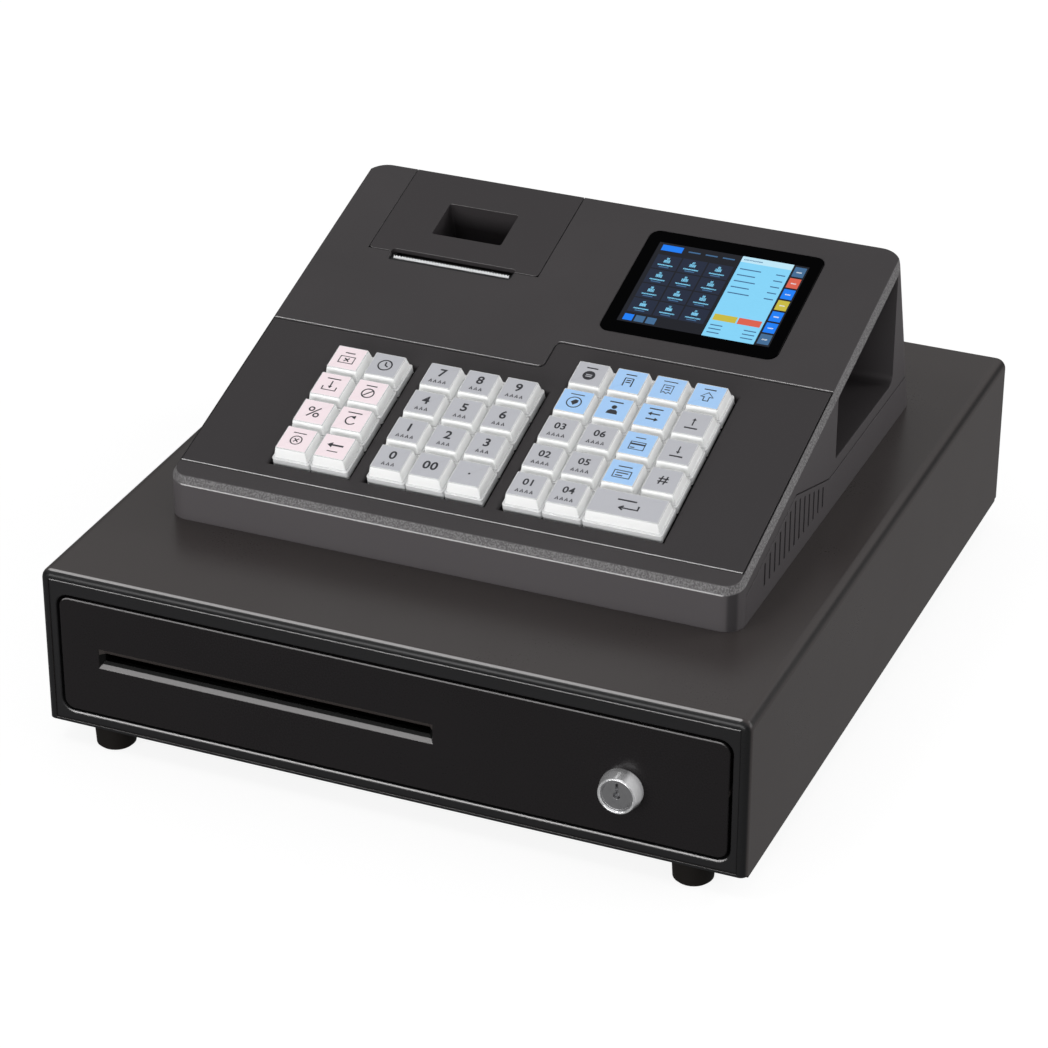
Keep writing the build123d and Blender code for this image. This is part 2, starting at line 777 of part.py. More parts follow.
def inlay_points(shrink):
    """Corners of the keyboard inlay's outline on the deck, shrunk all round."""
    left = -deck_half_width + shrink
    right = deck_half_width - shrink
    step = inlay_step_x + shrink
    back_left = inlay_back_left - shrink
    back_right = inlay_back_right - shrink
    return [
        (left, inlay_front + shrink),
        (right, inlay_front + shrink),
        (right, back_right),
        (step, back_right),
        (step, back_left),
        (left, back_left),
    ]


def step_corners(corners):
    """The two corners of the step in the inlay's back edge."""
    return [corner for corner in corners if abs(corner.X) < key_pitch]


# hollow under the deck, which is thick round the keyboard
with BuildPart() as housing_hollow:
    with BuildSketch(Plane.YZ):
        Polygon(
            [
                console_point(console_wall, 0),
                deck_at_y(console_front + console_wall, -keyboard_deck_thickness),
                deck_point(deck_length - console_wall, -keyboard_deck_thickness),
                deck_at_z(deck_length - console_wall, cabinet_top),
            ]
        )
    extrude(amount=inner_half, both=True)
    extrude(console_core.sketch, amount=console_depth, both=True, mode=Mode.INTERSECT)

with BuildPart() as console_housing:
    with BuildSketch(Plane.YZ):
        Polygon(
            [
                console_point(0, 0),
                console_point(0, nose_height),
                deck_point(deck_length, 0),
                deck_at_z(deck_length, cabinet_top),
            ]
        )
    extrude(amount=console_width / 2, both=True)
    front_corners = console_housing.edges().filter_by(Axis.Z)
    fillet(front_corners, console_corner_radius)
    # bevel round the front and sides of the deck
    deck_face = console_housing.faces().sort_by(Axis.Z)[-1]
    rear_edge = deck_face.edges().sort_by(Axis.Y)[-1]
    bevel_edges = [edge for edge in deck_face.edges() if not edge.is_same(rear_edge)]
    chamfer(bevel_edges, deck_bevel_inset, deck_bevel_drop, reference=deck_face)
    extrude(console_outline.sketch, amount=console_depth, both=True, mode=Mode.INTERSECT)
    add(housing_hollow.part, mode=Mode.SUBTRACT)
    # thinner deck further up
    upper_start = inlay_back_right + inlay_ledge
    upper_length = deck_length - console_wall - upper_start
    with BuildSketch(deck.offset(-keyboard_deck_thickness)) as thinner:
        with Locations((0, upper_start + upper_length / 2)):
            Rectangle(2 * inner_half, upper_length)
        fillet(thinner.vertices().group_by(Axis.Y)[-1], inner_radius)
    extrude(amount=keyboard_deck_thickness - deck_thickness, mode=Mode.SUBTRACT)
    # everything under the side seam belongs to the base
    with BuildSketch(Plane.YZ):
        lifted = [(y, z + seam_gap) for y, z in seam_line]
        Polygon(
            [console_point(console_corner_radius, 0)]
            + lifted
            + [console_point(2 * console_depth, seam_rear_height + seam_gap)]
            + [console_point(2 * console_depth, 0)]
        )
    extrude(amount=console_width / 2, both=True, mode=Mode.SUBTRACT)
    # pocket with its lining
    with BuildSketch(Plane.YZ.offset(pocket_inner_x - pocket_wall)) as lining:
        Polygon(
            [
                (pocket_front_y - pocket_wall, pocket_floor_z - pocket_wall),
                deck_at_y(pocket_front_y - pocket_wall, -deck_thickness),
                deck_at_y(pocket_back_y + pocket_wall, -deck_thickness),
                (pocket_back_y + pocket_wall, pocket_floor_z - pocket_wall),
            ]
        )
        fillet(lining.vertices().group_by(Axis.Y)[0].sort_by(Axis.X)[-1], pocket_radius + pocket_wall)
    extrude(amount=pocket_depth + pocket_wall - console_wall / 2)
    with BuildSketch(Plane.YZ.offset(pocket_inner_x)) as hollow:
        Polygon(
            [
                (pocket_front_y, pocket_floor_z),
                deck_at_y(pocket_front_y, pocket_ceiling),
                deck_at_y(pocket_back_y, pocket_ceiling),
                (pocket_back_y, pocket_floor_z),
            ]
        )
        fillet(hollow.vertices().group_by(Axis.Y)[0].sort_by(Axis.X)[-1], pocket_radius)
        fillet(hollow.vertices().group_by(Axis.X)[0].sort_by(Axis.Y)[-1], pocket_front_radius)
    extrude(amount=pocket_depth, mode=Mode.SUBTRACT)
    # recess of the keyboard inlay, and the window inside its ledge
    with BuildSketch(deck) as inlay_recess:
        Polygon(inlay_points(0))
        fillet(step_corners(inlay_recess.vertices()), inlay_step_radius)
    extrude(amount=-inlay_thickness, mode=Mode.SUBTRACT)
    with BuildSketch(deck.offset(-inlay_thickness)):
        Polygon(inlay_points(inlay_ledge))
    extrude(amount=-keyboard_deck_thickness, mode=Mode.SUBTRACT)
    # rebate and window of the display
    with BuildSketch(deck):
        with Locations((display_x, display_center)):
            rebate = (display_width + 2 * display_gap, display_length + 2 * display_gap)
            RectangleRounded(*rebate, display_radius + display_gap)
    extrude(amount=-display_rebate, mode=Mode.SUBTRACT)
    with BuildSketch(deck):
        with Locations((display_x, display_center)):
            window = (display_module_width + 2 * display_gap, display_module_length + 2 * display_gap)
            Rectangle(*window)
    extrude(amount=-deck_thickness, mode=Mode.SUBTRACT)
    # opening of the printer bay, through the deck and the top of the rear wall
    bay_start = cover_front - cover_gap
    bay_end = deck_length + cover_gap
    with BuildSketch(deck) as bay:
        with Locations((printer_x, (bay_start + bay_end) / 2)):
            Rectangle(cover_width + 2 * cover_gap, bay_end - bay_start)
        with Locations((printer_x, (tear_slot_front + tear_slot_back) / 2)):
            Rectangle(tear_slot_width, tear_slot_back - tear_slot_front)
        fillet(bay.vertices().group_by(Axis.Y)[0], tear_slot_radius)
    extrude(amount=-(cover_thickness + cover_gap), mode=Mode.SUBTRACT)
    # knuckle and pin of the cover's hinge, behind the rear wall
    knuckle_start = printer_x - hinge_knuckle / 2
    with BuildSketch(Plane.YZ.offset(knuckle_start)):
        with Locations(deck_point(*cover_hinge)):
            Circle(hinge_barrel_radius)
        Polygon(
            [
                deck_point(deck_length - console_wall, -(hinge_drop - hinge_barrel_radius)),
                deck_point(deck_length + hinge_back, -(hinge_drop - hinge_barrel_radius)),
                deck_point(deck_length + hinge_back, -(hinge_drop + hinge_barrel_radius)),
                deck_point(deck_length - console_wall, -(hinge_drop + hinge_barrel_radius)),
            ]
        )
    extrude(amount=hinge_knuckle)
    with BuildSketch(Plane.YZ.offset(knuckle_start - hinge_ear)):
        with Locations(deck_point(*cover_hinge)):
            Circle(hinge_pin_radius)
    extrude(amount=hinge_knuckle + 2 * hinge_ear)
finish(console_housing, "console_housing")

# ------------------------------------------------------------------ keyboard


def group_left(group):
    """X of the left edge of a group's first key cell."""
    columns_before = sum(key_group_columns[:group])
    return -key_block_width / 2 + columns_before * key_pitch + group * key_group_gap


def group_center(group):
    """Middle of a key group, across and along the deck."""
    x = group_left(group) + key_group_columns[group] * key_pitch / 2
    return (x, first_row + (key_group_rows[group] - 1) * key_pitch / 2)


def group_size(group, margin):
    """Width and length of a key group's cells with a margin all round."""
    width = key_group_columns[group] * key_pitch + 2 * margin
    return (width, key_group_rows[group] * key_pitch + 2 * margin)


key_groups = range(len(key_group_columns))

with BuildPart() as keyboard_panel:
    with BuildSketch(deck) as inlay:
        Polygon(inlay_points(inlay_gap))
        fillet(step_corners(inlay.vertices()), inlay_step_radius)
    extrude(amount=-inlay_thickness)
    chamfer(keyboard_panel.faces().sort_by(Axis.Z)[-1].edges(), inlay_gap)
    # walls of the three wells, down to the key plates
    with BuildSketch(deck.offset(-inlay_thickness)):
        for group in key_groups:
            with Locations(group_center(group)):
                Rectangle(*group_size(group, well_margin + well_wall))
    extrude(amount=key_plate_top + inlay_thickness + key_plate_gap)
    with BuildSketch(deck):
        for group in key_groups:
            with Locations(group_center(group)):
                Rectangle(*group_size(group, well_margin))
    extrude(amount=key_plate_top, mode=Mode.SUBTRACT)
    inlay_top = keyboard_panel.faces().sort_by(Axis((0, 0, 0), deck.z_dir))[-1]
    rims = [edge for rim in inlay_top.inner_wires() for edge in rim.edges()]
    fillet(rims, well_rim_radius)
finish(keyboard_panel, "keyboard_panel")

with BuildPart() as key_plate:
    with BuildSketch(deck.offset(key_plate_top)):
        for group in key_groups:
            with Locations(group_center(group)):
                Rectangle(*group_size(group, well_margin + key_plate_margin))
    extrude(amount=-key_plate_thickness)
    # guide holes for the stems
    guide = key_stem + 2 * stem_clearance
    with BuildSketch(deck.offset(key_plate_top)):
        for group in key_groups:
            for column in range(key_group_columns[group]):
                for row in range(key_group_rows[group]):
                    wide = group == 2 and row == 0 and column >= 2
                    if not wide:
                        cell_x = group_left(group) + (column + 0.5) * key_pitch
                        with Locations((cell_x, first_row + row * key_pitch)):
                            Rectangle(guide, guide)
        with Locations((group_left(2) + 3 * key_pitch, first_row)):
            Rectangle(guide, guide)
    extrude(amount=-key_plate_thickness, mode=Mode.SUBTRACT)
finish(key_plate, "key_plate")


def build_key(name, x, along, cells=1):
    """Build one key: a skirt in the well, a tapered cap above it and a stem below."""
    extra = (cells - 1) * key_pitch
    with BuildPart() as key:
        with BuildSketch(deck.offset(-key_sink)):
            with Locations((x, along)):
                skirt = Rectangle(key_base + extra, key_base)
            chamfer(skirt.vertices(), key_corner)
        extrude(amount=key_sink + key_skirt_rise)
        with BuildSketch(deck.offset(key_skirt_rise)):
            with Locations((x, along)):
                cap = Rectangle(key_base + extra - 2 * key_shoulder, key_base - 2 * key_shoulder)
            chamfer(cap.vertices(), key_corner)
        extrude(amount=key_height - key_skirt_rise)
        crown = key.faces().sort_by(Axis((0, 0, 0), deck.z_dir))[-1]
        slant = (key_base - key_top) / 2 - key_shoulder
        slant_height = key_height - key_skirt_rise - key_step
        chamfer(crown.edges(), slant, slant_height, reference=crown)
        with BuildSketch(deck.offset(-key_sink)):
            with Locations((x, along)):
                Rectangle(key_stem, key_stem)
        extrude(amount=-key_stem_length)
    finish(key, name)


# names by group, then column from the left, then row from the front
key_names = (
    (
        ("key_clear", "key_vat", "key_received", "key_escape"),
        ("key_backspace", "key_refund", "key_void", "key_time"),
    ),
    (
        ("key_0", "key_1", "key_4", "key_7"),
        ("key_00", "key_2", "key_5", "key_8"),
        ("key_point", "key_3", "key_6", "key_9"),
    ),
    (
        ("key_dept_01", "key_dept_02", "key_dept_03", "key_discount", "key_lookup"),
        ("key_dept_04", "key_dept_05", "key_dept_06", "key_clerk", "key_feed"),
        (None, "key_cheque", "key_card", "key_exchange", "key_receipt"),
        (None, "key_subtotal", "key_page_down", "key_page_up", "key_shift"),
    ),
)
for group in key_groups:
    for column, names in enumerate(key_names[group]):
        for row, key_name in enumerate(names):
            if key_name:
                key_x = group_left(group) + (column + 0.5) * key_pitch
                build_key(key_name, key_x, first_row + row * key_pitch)
build_key("key_enter", group_left(2) + 3 * key_pitch, first_row, cells=2)

# ------------------------------------------------------------------ display
with BuildPart() as display_screen:
    with BuildSketch(deck.offset(display_proud)):
        with Locations((display_x, display_center)):
            RectangleRounded(display_width, display_length, display_radius)
    extrude(amount=-(display_proud + display_rebate))
    chamfer(display_screen.faces().sort_by(Axis.Z)[-1].edges(), display_proud)
    with BuildSketch(deck.offset(-display_rebate)):
        with Locations((display_x, display_center)):
            Rectangle(display_module_width, display_module_length)
    extrude(amount=-display_module_depth)
finish(display_screen, "display_screen")

# ------------------------------------------------------------------ receipt printer
with BuildPart() as printer_cover:
    with BuildSketch(deck) as lid:
        with Locations((printer_x, (cover_front + deck_length) / 2)):
            Rectangle(cover_width, deck_length - cover_front)
        lid_front = lid.vertices().group_by(Axis.Y)[0]
        fillet(lid_front, cover_corner_radius)
    extrude(amount=-cover_thickness)
    # finger pull, a deep cup with straight walls
    with BuildSketch(deck):
        with Locations((printer_x, pull_center)):
            Rectangle(pull_width + 2 * pull_wall, pull_length + 2 * pull_wall)
    extrude(amount=-(pull_depth + pull_wall))
    with BuildSketch(deck):
        with Locations((printer_x, pull_center)):
            RectangleRounded(pull_width, pull_length, pull_radius)
    extrude(amount=-pull_depth, mode=Mode.SUBTRACT)
    # front edge set back along the tear slot
    with BuildSketch(deck):
        with Locations((printer_x, cover_front)):
            notch = (tear_slot_width, 2 * (tear_slot_back - cover_front))
            RectangleRounded(*notch, tear_slot_back - cover_front - seat_gap)
    extrude(amount=-cover_thickness, mode=Mode.SUBTRACT)
    # two ears that reach round the rear edge to the hinge
    for side in (-1, 1):
        ear_middle = printer_x + side * ((hinge_knuckle + hinge_ear) / 2 + hinge_side_gap)
        with BuildSketch(Plane.YZ.offset(ear_middle - hinge_ear / 2)):
            ear_inside = deck_length + hinge_side_gap
            ear_outside = deck_length + hinge_back + hinge_barrel_radius
            Polygon(
                [
                    deck_point(deck_length - cover_thickness, -cover_thickness / 2),
                    deck_point(deck_length - cover_thickness, -cover_thickness),
                    deck_point(ear_inside, -cover_thickness),
                    deck_point(ear_inside, -hinge_drop),
                    deck_point(ear_outside, -hinge_drop),
                    deck_point(ear_outside, -hinge_drop + hinge_barrel_radius / 2),
                    deck_point(deck_length, -cover_thickness / 2),
                ]
            )
            with Locations(deck_point(*cover_hinge)):
                Circle(hinge_barrel_radius)
                Circle(hinge_pin_radius + running_fit, mode=Mode.SUBTRACT)
        extrude(amount=hinge_ear)
finish(printer_cover, "printer_cover")

roll_axis = deck_point(roll_center, -roll_drop)
bucket_axis = (roll_axis[0], roll_axis[1] + bucket_clearance - glide_gap)
bucket_outer = bucket_radius + bucket_wall
flange_bottom = flange_top - printer_flange_thickness
flange_half = cover_width / 2 + cover_gap + printer_flange_overlap
flange_front = tear_slot_front - printer_flange_overlap
flange_back = deck_length - console_wall - seat_gap
seat_back = tear_bar_center + tear_bar_length / 2
window_front = platen_center - platen_radius - glide_gap
bucket_back = roll_center + bucket_outer
platen_axis = deck_point(platen_center, -platen_drop)
head_center = platen_center - platen_radius - head_gap - head_thickness / 2

with BuildPart() as printer_frame:
    # flange that hangs the mechanism under the deck
    with BuildSketch(deck.offset(flange_top)):
        with Locations((printer_x, (flange_front + flange_back) / 2)):
            Rectangle(2 * flange_half, flange_back - flange_front)
        with Locations((printer_x, (window_front + bucket_back - bucket_wall) / 2)):
            window_size = (2 * bucket_half, bucket_back - bucket_wall - window_front)
            Rectangle(*window_size, mode=Mode.SUBTRACT)
    extrude(amount=-printer_flange_thickness)
    # paper bucket with a round floor, and its two side plates
    with BuildSketch(Plane.YZ.offset(printer_x - bucket_half)):
        with Locations(bucket_axis):
            Circle(bucket_outer)
        Polygon(
            [
                deck_point(roll_center, -roll_drop),
                deck_point(roll_center, flange_bottom),
                deck_point(bucket_back, flange_bottom),
                deck_point(bucket_back, -roll_drop),
            ]
        )
        with Locations(bucket_axis):
            Circle(bucket_radius, mode=Mode.SUBTRACT)
        with BuildLine():
            Polyline(
                deck_point(roll_center - 2 * bucket_outer, 0),
                deck_point(roll_center - 2 * bucket_outer, -bucket_front_top),
                deck_point(bucket_back - bucket_wall, -bucket_front_top),
                deck_point(bucket_back - bucket_wall, 0),
                close=True,
            )
        make_face(mode=Mode.SUBTRACT)
    extrude(amount=2 * bucket_half)
    for plate_start in (printer_x - bucket_half - bucket_wall, printer_x + bucket_half):
        with BuildSketch(Plane.YZ.offset(plate_start)):
            with Locations(bucket_axis):
                Circle(bucket_outer)
            Polygon(
                [
                    deck_point(roll_center - bucket_outer / 2, -(roll_drop + bucket_outer / 2)),
                    deck_point(head_center - head_thickness, -(platen_drop + head_height)),
                    deck_point(head_center - head_thickness, flange_bottom),
                    deck_point(bucket_back, flange_bottom),
                    deck_point(bucket_back, -roll_drop),
                ]
            )
            with Locations(platen_axis):
                Circle(platen_shaft_radius + running_fit, mode=Mode.SUBTRACT)
        extrude(amount=bucket_wall)
    # thermal head in front of the platen
    with BuildSketch(Plane.YZ.offset(printer_x - bucket_half)):
        Polygon(
            [
                deck_point(head_center - head_thickness / 2, flange_bottom),
                deck_point(head_center - head_thickness / 2, -(platen_drop + head_height / 2)),
                deck_point(head_center + head_thickness / 2, -(platen_drop + head_height / 2)),
                deck_point(head_center + head_thickness / 2, flange_bottom),
            ]
        )
    extrude(amount=2 * bucket_half)
    # raised seat of the tear bar, which fills the front of the slot in the deck
    with BuildSketch(deck.offset(flange_top)) as seat:
        with Locations((printer_x, (tear_slot_front + seat_gap + seat_back) / 2)):
            Rectangle(tear_slot_width - 2 * seat_gap, seat_back - tear_slot_front - seat_gap)
        fillet(seat.vertices().group_by(Axis.Y)[0], tear_slot_radius)
    extrude(amount=-flange_top - tear_bar_seat)
finish(printer_frame, "printer_frame")

with BuildPart() as tear_bar:
    with BuildSketch(Plane.YZ.offset(printer_x - tear_bar_width / 2)):
        bar_front = tear_bar_center - tear_bar_length / 2
        bar_back = tear_bar_center + tear_bar_length / 2
        Polygon(
            [
                deck_point(bar_front, -tear_bar_seat),
                deck_point(bar_front, -tear_bar_seat + tear_bar_rise / 4),
                deck_point(bar_back, -tear_bar_seat + tear_bar_rise),
                deck_point(bar_back, -tear_bar_seat),
            ]
        )
    extrude(amount=tear_bar_width)
    # saw teeth along the back edge
    teeth = int(tear_bar_width / tear_tooth_pitch)
    with BuildSketch(deck.offset(-tear_bar_seat + tear_bar_rise)):
        for tooth in range(teeth):
            tooth_x = printer_x + (tooth - (teeth - 1) / 2) * tear_tooth_pitch
            with BuildLine():
                Polyline(
                    (tooth_x - tear_tooth_pitch / 2, bar_back),
                    (tooth_x, bar_back - tear_tooth_depth),
                    (tooth_x + tear_tooth_pitch / 2, bar_back),
                    close=True,
                )
            make_face()
    extrude(amount=-tear_bar_rise, mode=Mode.SUBTRACT)
finish(tear_bar, "tear_bar")

with BuildPart() as platen_roller:
    with BuildSketch(Plane.YZ.offset(printer_x - paper_width / 2)):
        with Locations(platen_axis):
            Circle(platen_radius)
    extrude(amount=paper_width)
    with BuildSketch(Plane.YZ.offset(printer_x - bucket_half - bucket_wall)):
        with Locations(platen_axis):
            Circle(platen_shaft_radius)
    extrude(amount=2 * (bucket_half + bucket_wall))
finish(platen_roller, "platen_roller")

with BuildPart() as paper_roll:
    with BuildSketch(Plane.YZ.offset(printer_x - paper_width / 2)):
        with Locations(roll_axis):
            Circle(paper_radius)
            Circle(paper_core_radius, mode=Mode.SUBTRACT)
    extrude(amount=paper_width)
finish(paper_roll, "paper_roll")
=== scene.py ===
"""Looks of an electronic cash register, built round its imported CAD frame.

Metres, +Z is up, +X is the operator's right and the front faces -Y.
"""

import json
import logging
import math
from contextlib import contextmanager
from dataclasses import dataclass, field
from enum import Enum
from typing import Callable, ClassVar, Iterator

import bmesh
import bpy
from mathutils import Matrix, Vector

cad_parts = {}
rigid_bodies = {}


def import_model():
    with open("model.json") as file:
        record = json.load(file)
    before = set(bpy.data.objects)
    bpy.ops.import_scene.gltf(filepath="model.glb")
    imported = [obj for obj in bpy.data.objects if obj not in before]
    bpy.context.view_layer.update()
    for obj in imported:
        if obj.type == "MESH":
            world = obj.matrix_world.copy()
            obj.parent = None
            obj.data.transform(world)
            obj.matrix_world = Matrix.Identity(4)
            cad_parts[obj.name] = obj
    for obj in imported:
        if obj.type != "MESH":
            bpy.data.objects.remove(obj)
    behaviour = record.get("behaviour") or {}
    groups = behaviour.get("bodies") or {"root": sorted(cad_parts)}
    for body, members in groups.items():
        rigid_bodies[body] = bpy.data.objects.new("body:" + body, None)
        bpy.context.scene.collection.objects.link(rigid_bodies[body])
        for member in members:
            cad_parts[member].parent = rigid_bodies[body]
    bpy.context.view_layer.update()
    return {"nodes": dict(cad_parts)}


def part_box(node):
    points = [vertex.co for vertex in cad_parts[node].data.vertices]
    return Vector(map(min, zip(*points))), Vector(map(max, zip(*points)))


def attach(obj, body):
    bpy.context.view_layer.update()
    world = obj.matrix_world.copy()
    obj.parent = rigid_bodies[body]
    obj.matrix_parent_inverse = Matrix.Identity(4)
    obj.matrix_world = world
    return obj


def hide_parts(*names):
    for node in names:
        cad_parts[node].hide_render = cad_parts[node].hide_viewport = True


log = logging.getLogger("register")

MM = 0.001
Piece = bpy.types.Object
Nodes = dict[str, Piece]
Material = bpy.types.Material
Socket = bpy.types.NodeSocket
Way = tuple[float, float, float]
Colour = tuple[float, float, float]
Point = tuple[float, float]
Line = tuple[Point, ...]
EVEN: Way = (1.0, 1.0, 1.0)


def linear(value: int) -> float:
    """Linear light of a display value from 0 to 255, by the usual display curve."""
    share = value / 255
    return share / 12.92 if share <= 0.04045 else ((share + 0.055) / 1.055) ** 2.4


def screen_colour(red: int, green: int, blue: int) -> Colour:
    """Linear colour of three display values."""
    return (linear(red), linear(green), linear(blue))


def shade(colour: Colour, factor: float) -> Colour:
    """The colour made lighter or darker."""
    return (colour[0] * factor, colour[1] * factor, colour[2] * factor)


# ---------------------------------------------------------------- shader tools
class Term:
    """A shader value or colour that takes part in Python arithmetic."""

    def __init__(self, paint: "Paint", socket: Socket) -> None:
        """Wrap the output socket of a node that belongs to `paint`."""
        self.paint = paint
        self.socket = socket

    def _math(self, operation: str, *values: "Term | float") -> "Term":
        """Add a Math node over these values."""
        return Term(self.paint, self.paint.node("ShaderNodeMath", {"operation": operation}, *values).outputs[0])

    def __add__(self, other: "Term | float") -> "Term":
        """Sum."""
        return self._math("ADD", self, other)

    __radd__ = __add__

    def __sub__(self, other: "Term | float") -> "Term":
        """Difference."""
        return self._math("SUBTRACT", self, other)

    def __rsub__(self, other: float) -> "Term":
        """Difference from a number."""
        return self._math("SUBTRACT", other, self)

    def __mul__(self, other: "Term | float") -> "Term":
        """Product."""
        return self._math("MULTIPLY", self, other)

    __rmul__ = __mul__

    def maximum(self, other: "Term | float") -> "Term":
        """Larger of two values."""
        return self._math("MAXIMUM", self, other)

    def between(self, low: float, high: float) -> "Term":
        """Smooth step between two values.

        Args:
            low: Where it is 0.
            high: Where it is 1.

        Returns:
            The step.
        """
        sockets = {"Value": self, "From Min": low, "From Max": high}
        node = self.paint.node("ShaderNodeMapRange", {"interpolation_type": "SMOOTHSTEP"}, **sockets)
        return Term(self.paint, node.outputs["Result"])


class Paint:
    """Node tree of one material, round a Principled surface."""

    slow_wander = 0.08
    fine_wander = 0.1

    def __init__(self, name: str) -> None:
        """Start an empty tree with its Principled node and output.

        Args:
            name: Name of the material.
        """
        self.material = bpy.data.materials.new(name)
        self.material.use_nodes = True
        self.tree = self.material.node_tree
        self.tree.nodes.clear()
        self.surface = self.node("ShaderNodeBsdfPrincipled", {})
        self.output = self.node("ShaderNodeOutputMaterial", {}, Surface=self.surface.outputs[0])

    @classmethod
    def of_world(cls, world: bpy.types.World) -> "Paint":
        """An empty tree for the world, which has no surface.

        Args:
            world: The world.

        Returns:
            Its paint.
        """
        world.use_nodes = True
        paint = cls.__new__(cls)
        paint.tree = world.node_tree
        paint.tree.nodes.clear()
        return paint

    def node(self, kind: str, settings: dict, *places: object, **sockets: object) -> bpy.types.Node:
        """Add a node.

        Args:
            kind: Type of the node.
            settings: Properties that are set first.
            places: Values or links of its first inputs, in order.
            sockets: Values or links of its inputs, by name.

        Returns:
            The new node.
        """
        made = self.tree.nodes.new(kind)
        for name, value in settings.items():
            setattr(made, name, value)
        for name, value in [*enumerate(places), *sockets.items()]:
            self.plug(made.inputs[name], value)
        return made

    def plug(self, socket: Socket, value: object) -> None:
        """Set or link one socket.

        Args:
            socket: The input to fill.
            value: A term or a socket to link, or a value to set.
        """
        if isinstance(value, Term):
            value = value.socket
        if isinstance(value, Socket):
            self.tree.links.new(value, socket)
        elif isinstance(value, tuple) and socket.type == "RGBA":
            socket.default_value = (*value, 1.0)
        else:
            socket.default_value = value

    def set(self, **sockets: object) -> None:
        """Set sockets of the surface, with _ for each space in a socket's name."""
        for name, value in sockets.items():
            self.plug(self.surface.inputs[name.replace("_", " ")], value)

    def place(self, stretch: Way = EVEN) -> Socket:
        """Object coordinates.

        Args:
            stretch: Factor along each axis.

        Returns:
            The coordinates.
        """
        source = self.node("ShaderNodeTexCoord", {}).outputs["Object"]
        if stretch == EVEN:
            return source
        return self.node("ShaderNodeVectorMath", {"operation": "MULTIPLY"}, source, stretch).outputs[0]

    def noise(self, size: float, detail: float = 2.0, stretch: Way = EVEN) -> Term:
        """Soft noise whose lumps are `size` metres across."""
        sockets = {"Vector": self.place(stretch), "Scale": 1 / size, "Detail": detail}
        return Term(self, self.node("ShaderNodeTexNoise", {}, **sockets).outputs[0])

    def mix(self, share: Term, low: object, high: object) -> Socket:
        """Mix two colours.

        Args:
            share: How much of the second one shows.
            low: First colour, or a link.
            high: Second colour, or a link.

        Returns:
            The mixed colour.
        """
        node = self.node("ShaderNodeMix", {"data_type": "RGBA"})
        for place, value in zip((0, 6, 7), (share, low, high)):
            self.plug(node.inputs[place], value)
        return node.outputs[2]

    def eased(self, edge: float) -> Socket:
        """Normal over edges that are eased by `edge` metres."""
        return self.node("ShaderNodeBevel", {"samples": 6}, Radius=edge).outputs[0]

    def dot(self, first: Socket, second: object) -> Term:
        """Dot product of two directions, each a link or a value."""
        node = self.node("ShaderNodeVectorMath", {"operation": "DOT_PRODUCT"}, first, second)
        return Term(self, node.outputs["Value"])

    def towards(self, normal: Socket, way: Way) -> Term:
        """How far a normal points one way: 1 straight along it."""
        return self.dot(normal, tuple(Vector(way).normalized()))

    def along(self, axis: int) -> Term:
        """Object coordinate along X (0), Y (1) or Z (2)."""
        return Term(self, self.node("ShaderNodeSeparateXYZ", {}, self.place()).outputs[axis])

    def slab(self, axis: int, low: float, high: float, before: float, after: float) -> Term:
        """Mask of a slab across one axis.

        Args:
            axis: X (0), Y (1) or Z (2).
            low: Where the slab starts.
            high: Where it ends.
            before: How far before each end its fade starts.
            after: How far past each end its fade goes on.

        Returns:
            1 inside the slab and 0 outside it.
        """
        place = self.along(axis)
        return place.between(low - before, low + after) * (1 - place.between(high - before, high + after))

    def above_slope(self, front: float, height: float, angle: float) -> Term:
        """Distance above a plane that slopes up towards the back from an edge at `front` and `height`."""
        sine, cosine = math.sin(angle), math.cos(angle)
        return self.along(2) * cosine - self.along(1) * sine + (front * sine - height * cosine)

    def ray(self, kind: str) -> Term:
        """1 for one kind of ray and 0 for the others."""
        return Term(self, self.node("ShaderNodeLightPath", {}).outputs[f"Is {kind} Ray"])

    def uneven(self, slow: Term, fine: Term, middle: float) -> Term:
        """Roughness that wanders a little about a middle value, by two noises."""
        return (slow - 0.5) * self.slow_wander + (fine - 0.5) * self.fine_wander + middle

    def bump(self, height: Term, depth: float, normal: Socket) -> None:
        """Feed the surface's normal with a relief `depth` metres deep."""
        sockets = {"Height": height, "Distance": depth, "Strength": 1.0, "Normal": normal}
        self.plug(self.surface.inputs["Normal"], self.node("ShaderNodeBump", {}, **sockets).outputs[0])


# ---------------------------------------------------------------- layers of a finish
@dataclass(frozen=True)
class Layer:
    """A second colour on part of a finish. Layers in this script paint highlights, shade and reflections into the
    colour.
    """

    colour: Colour

    def share(self, paint: Paint, normal: Socket) -> Term:
        """How much of the layer shows, from 0 to 1."""
        raise NotImplementedError

    def tint(self, paint: Paint) -> Colour | Socket:
        """Colour of the layer."""
        return self.colour


@dataclass(frozen=True)
class Facing(Layer):
    """Painted light on edges or faces that look one way, between two depths of the object: a highlight in a light
    colour, shade in a dark one.

    By default it is the edges between the front and the top that show it.
    """

    way: Way = (-0.1, -0.75, 0.65)
    low: float = 0.87
    high: float = 0.975
    strength: float = 1.0
    start: float = -1.0
    end: float = 1.0
    fade: ClassVar[float] = 1.0 * MM

    def share(self, paint: Paint, normal: Socket) -> Term:
        """How much of the layer shows, from 0 to 1."""
        facing = paint.towards(normal, self.way).between(self.low, self.high) * self.strength
        return facing * paint.slab(1, self.start, self.end, 0.0, self.fade)


@dataclass(frozen=True)
class Upright(Layer):
    """Painted light: a colour on all that doesn't lie level, lighter than the tops where it is used."""

    steep: ClassVar[float] = 0.35
    level: ClassVar[float] = 0.85

    def share(self, paint: Paint, normal: Socket) -> Term:
        """How much of the layer shows, from 0 to 1."""
        return 1 - paint.towards(normal, (0.0, 0.0, 1.0)).between(self.steep, self.level)


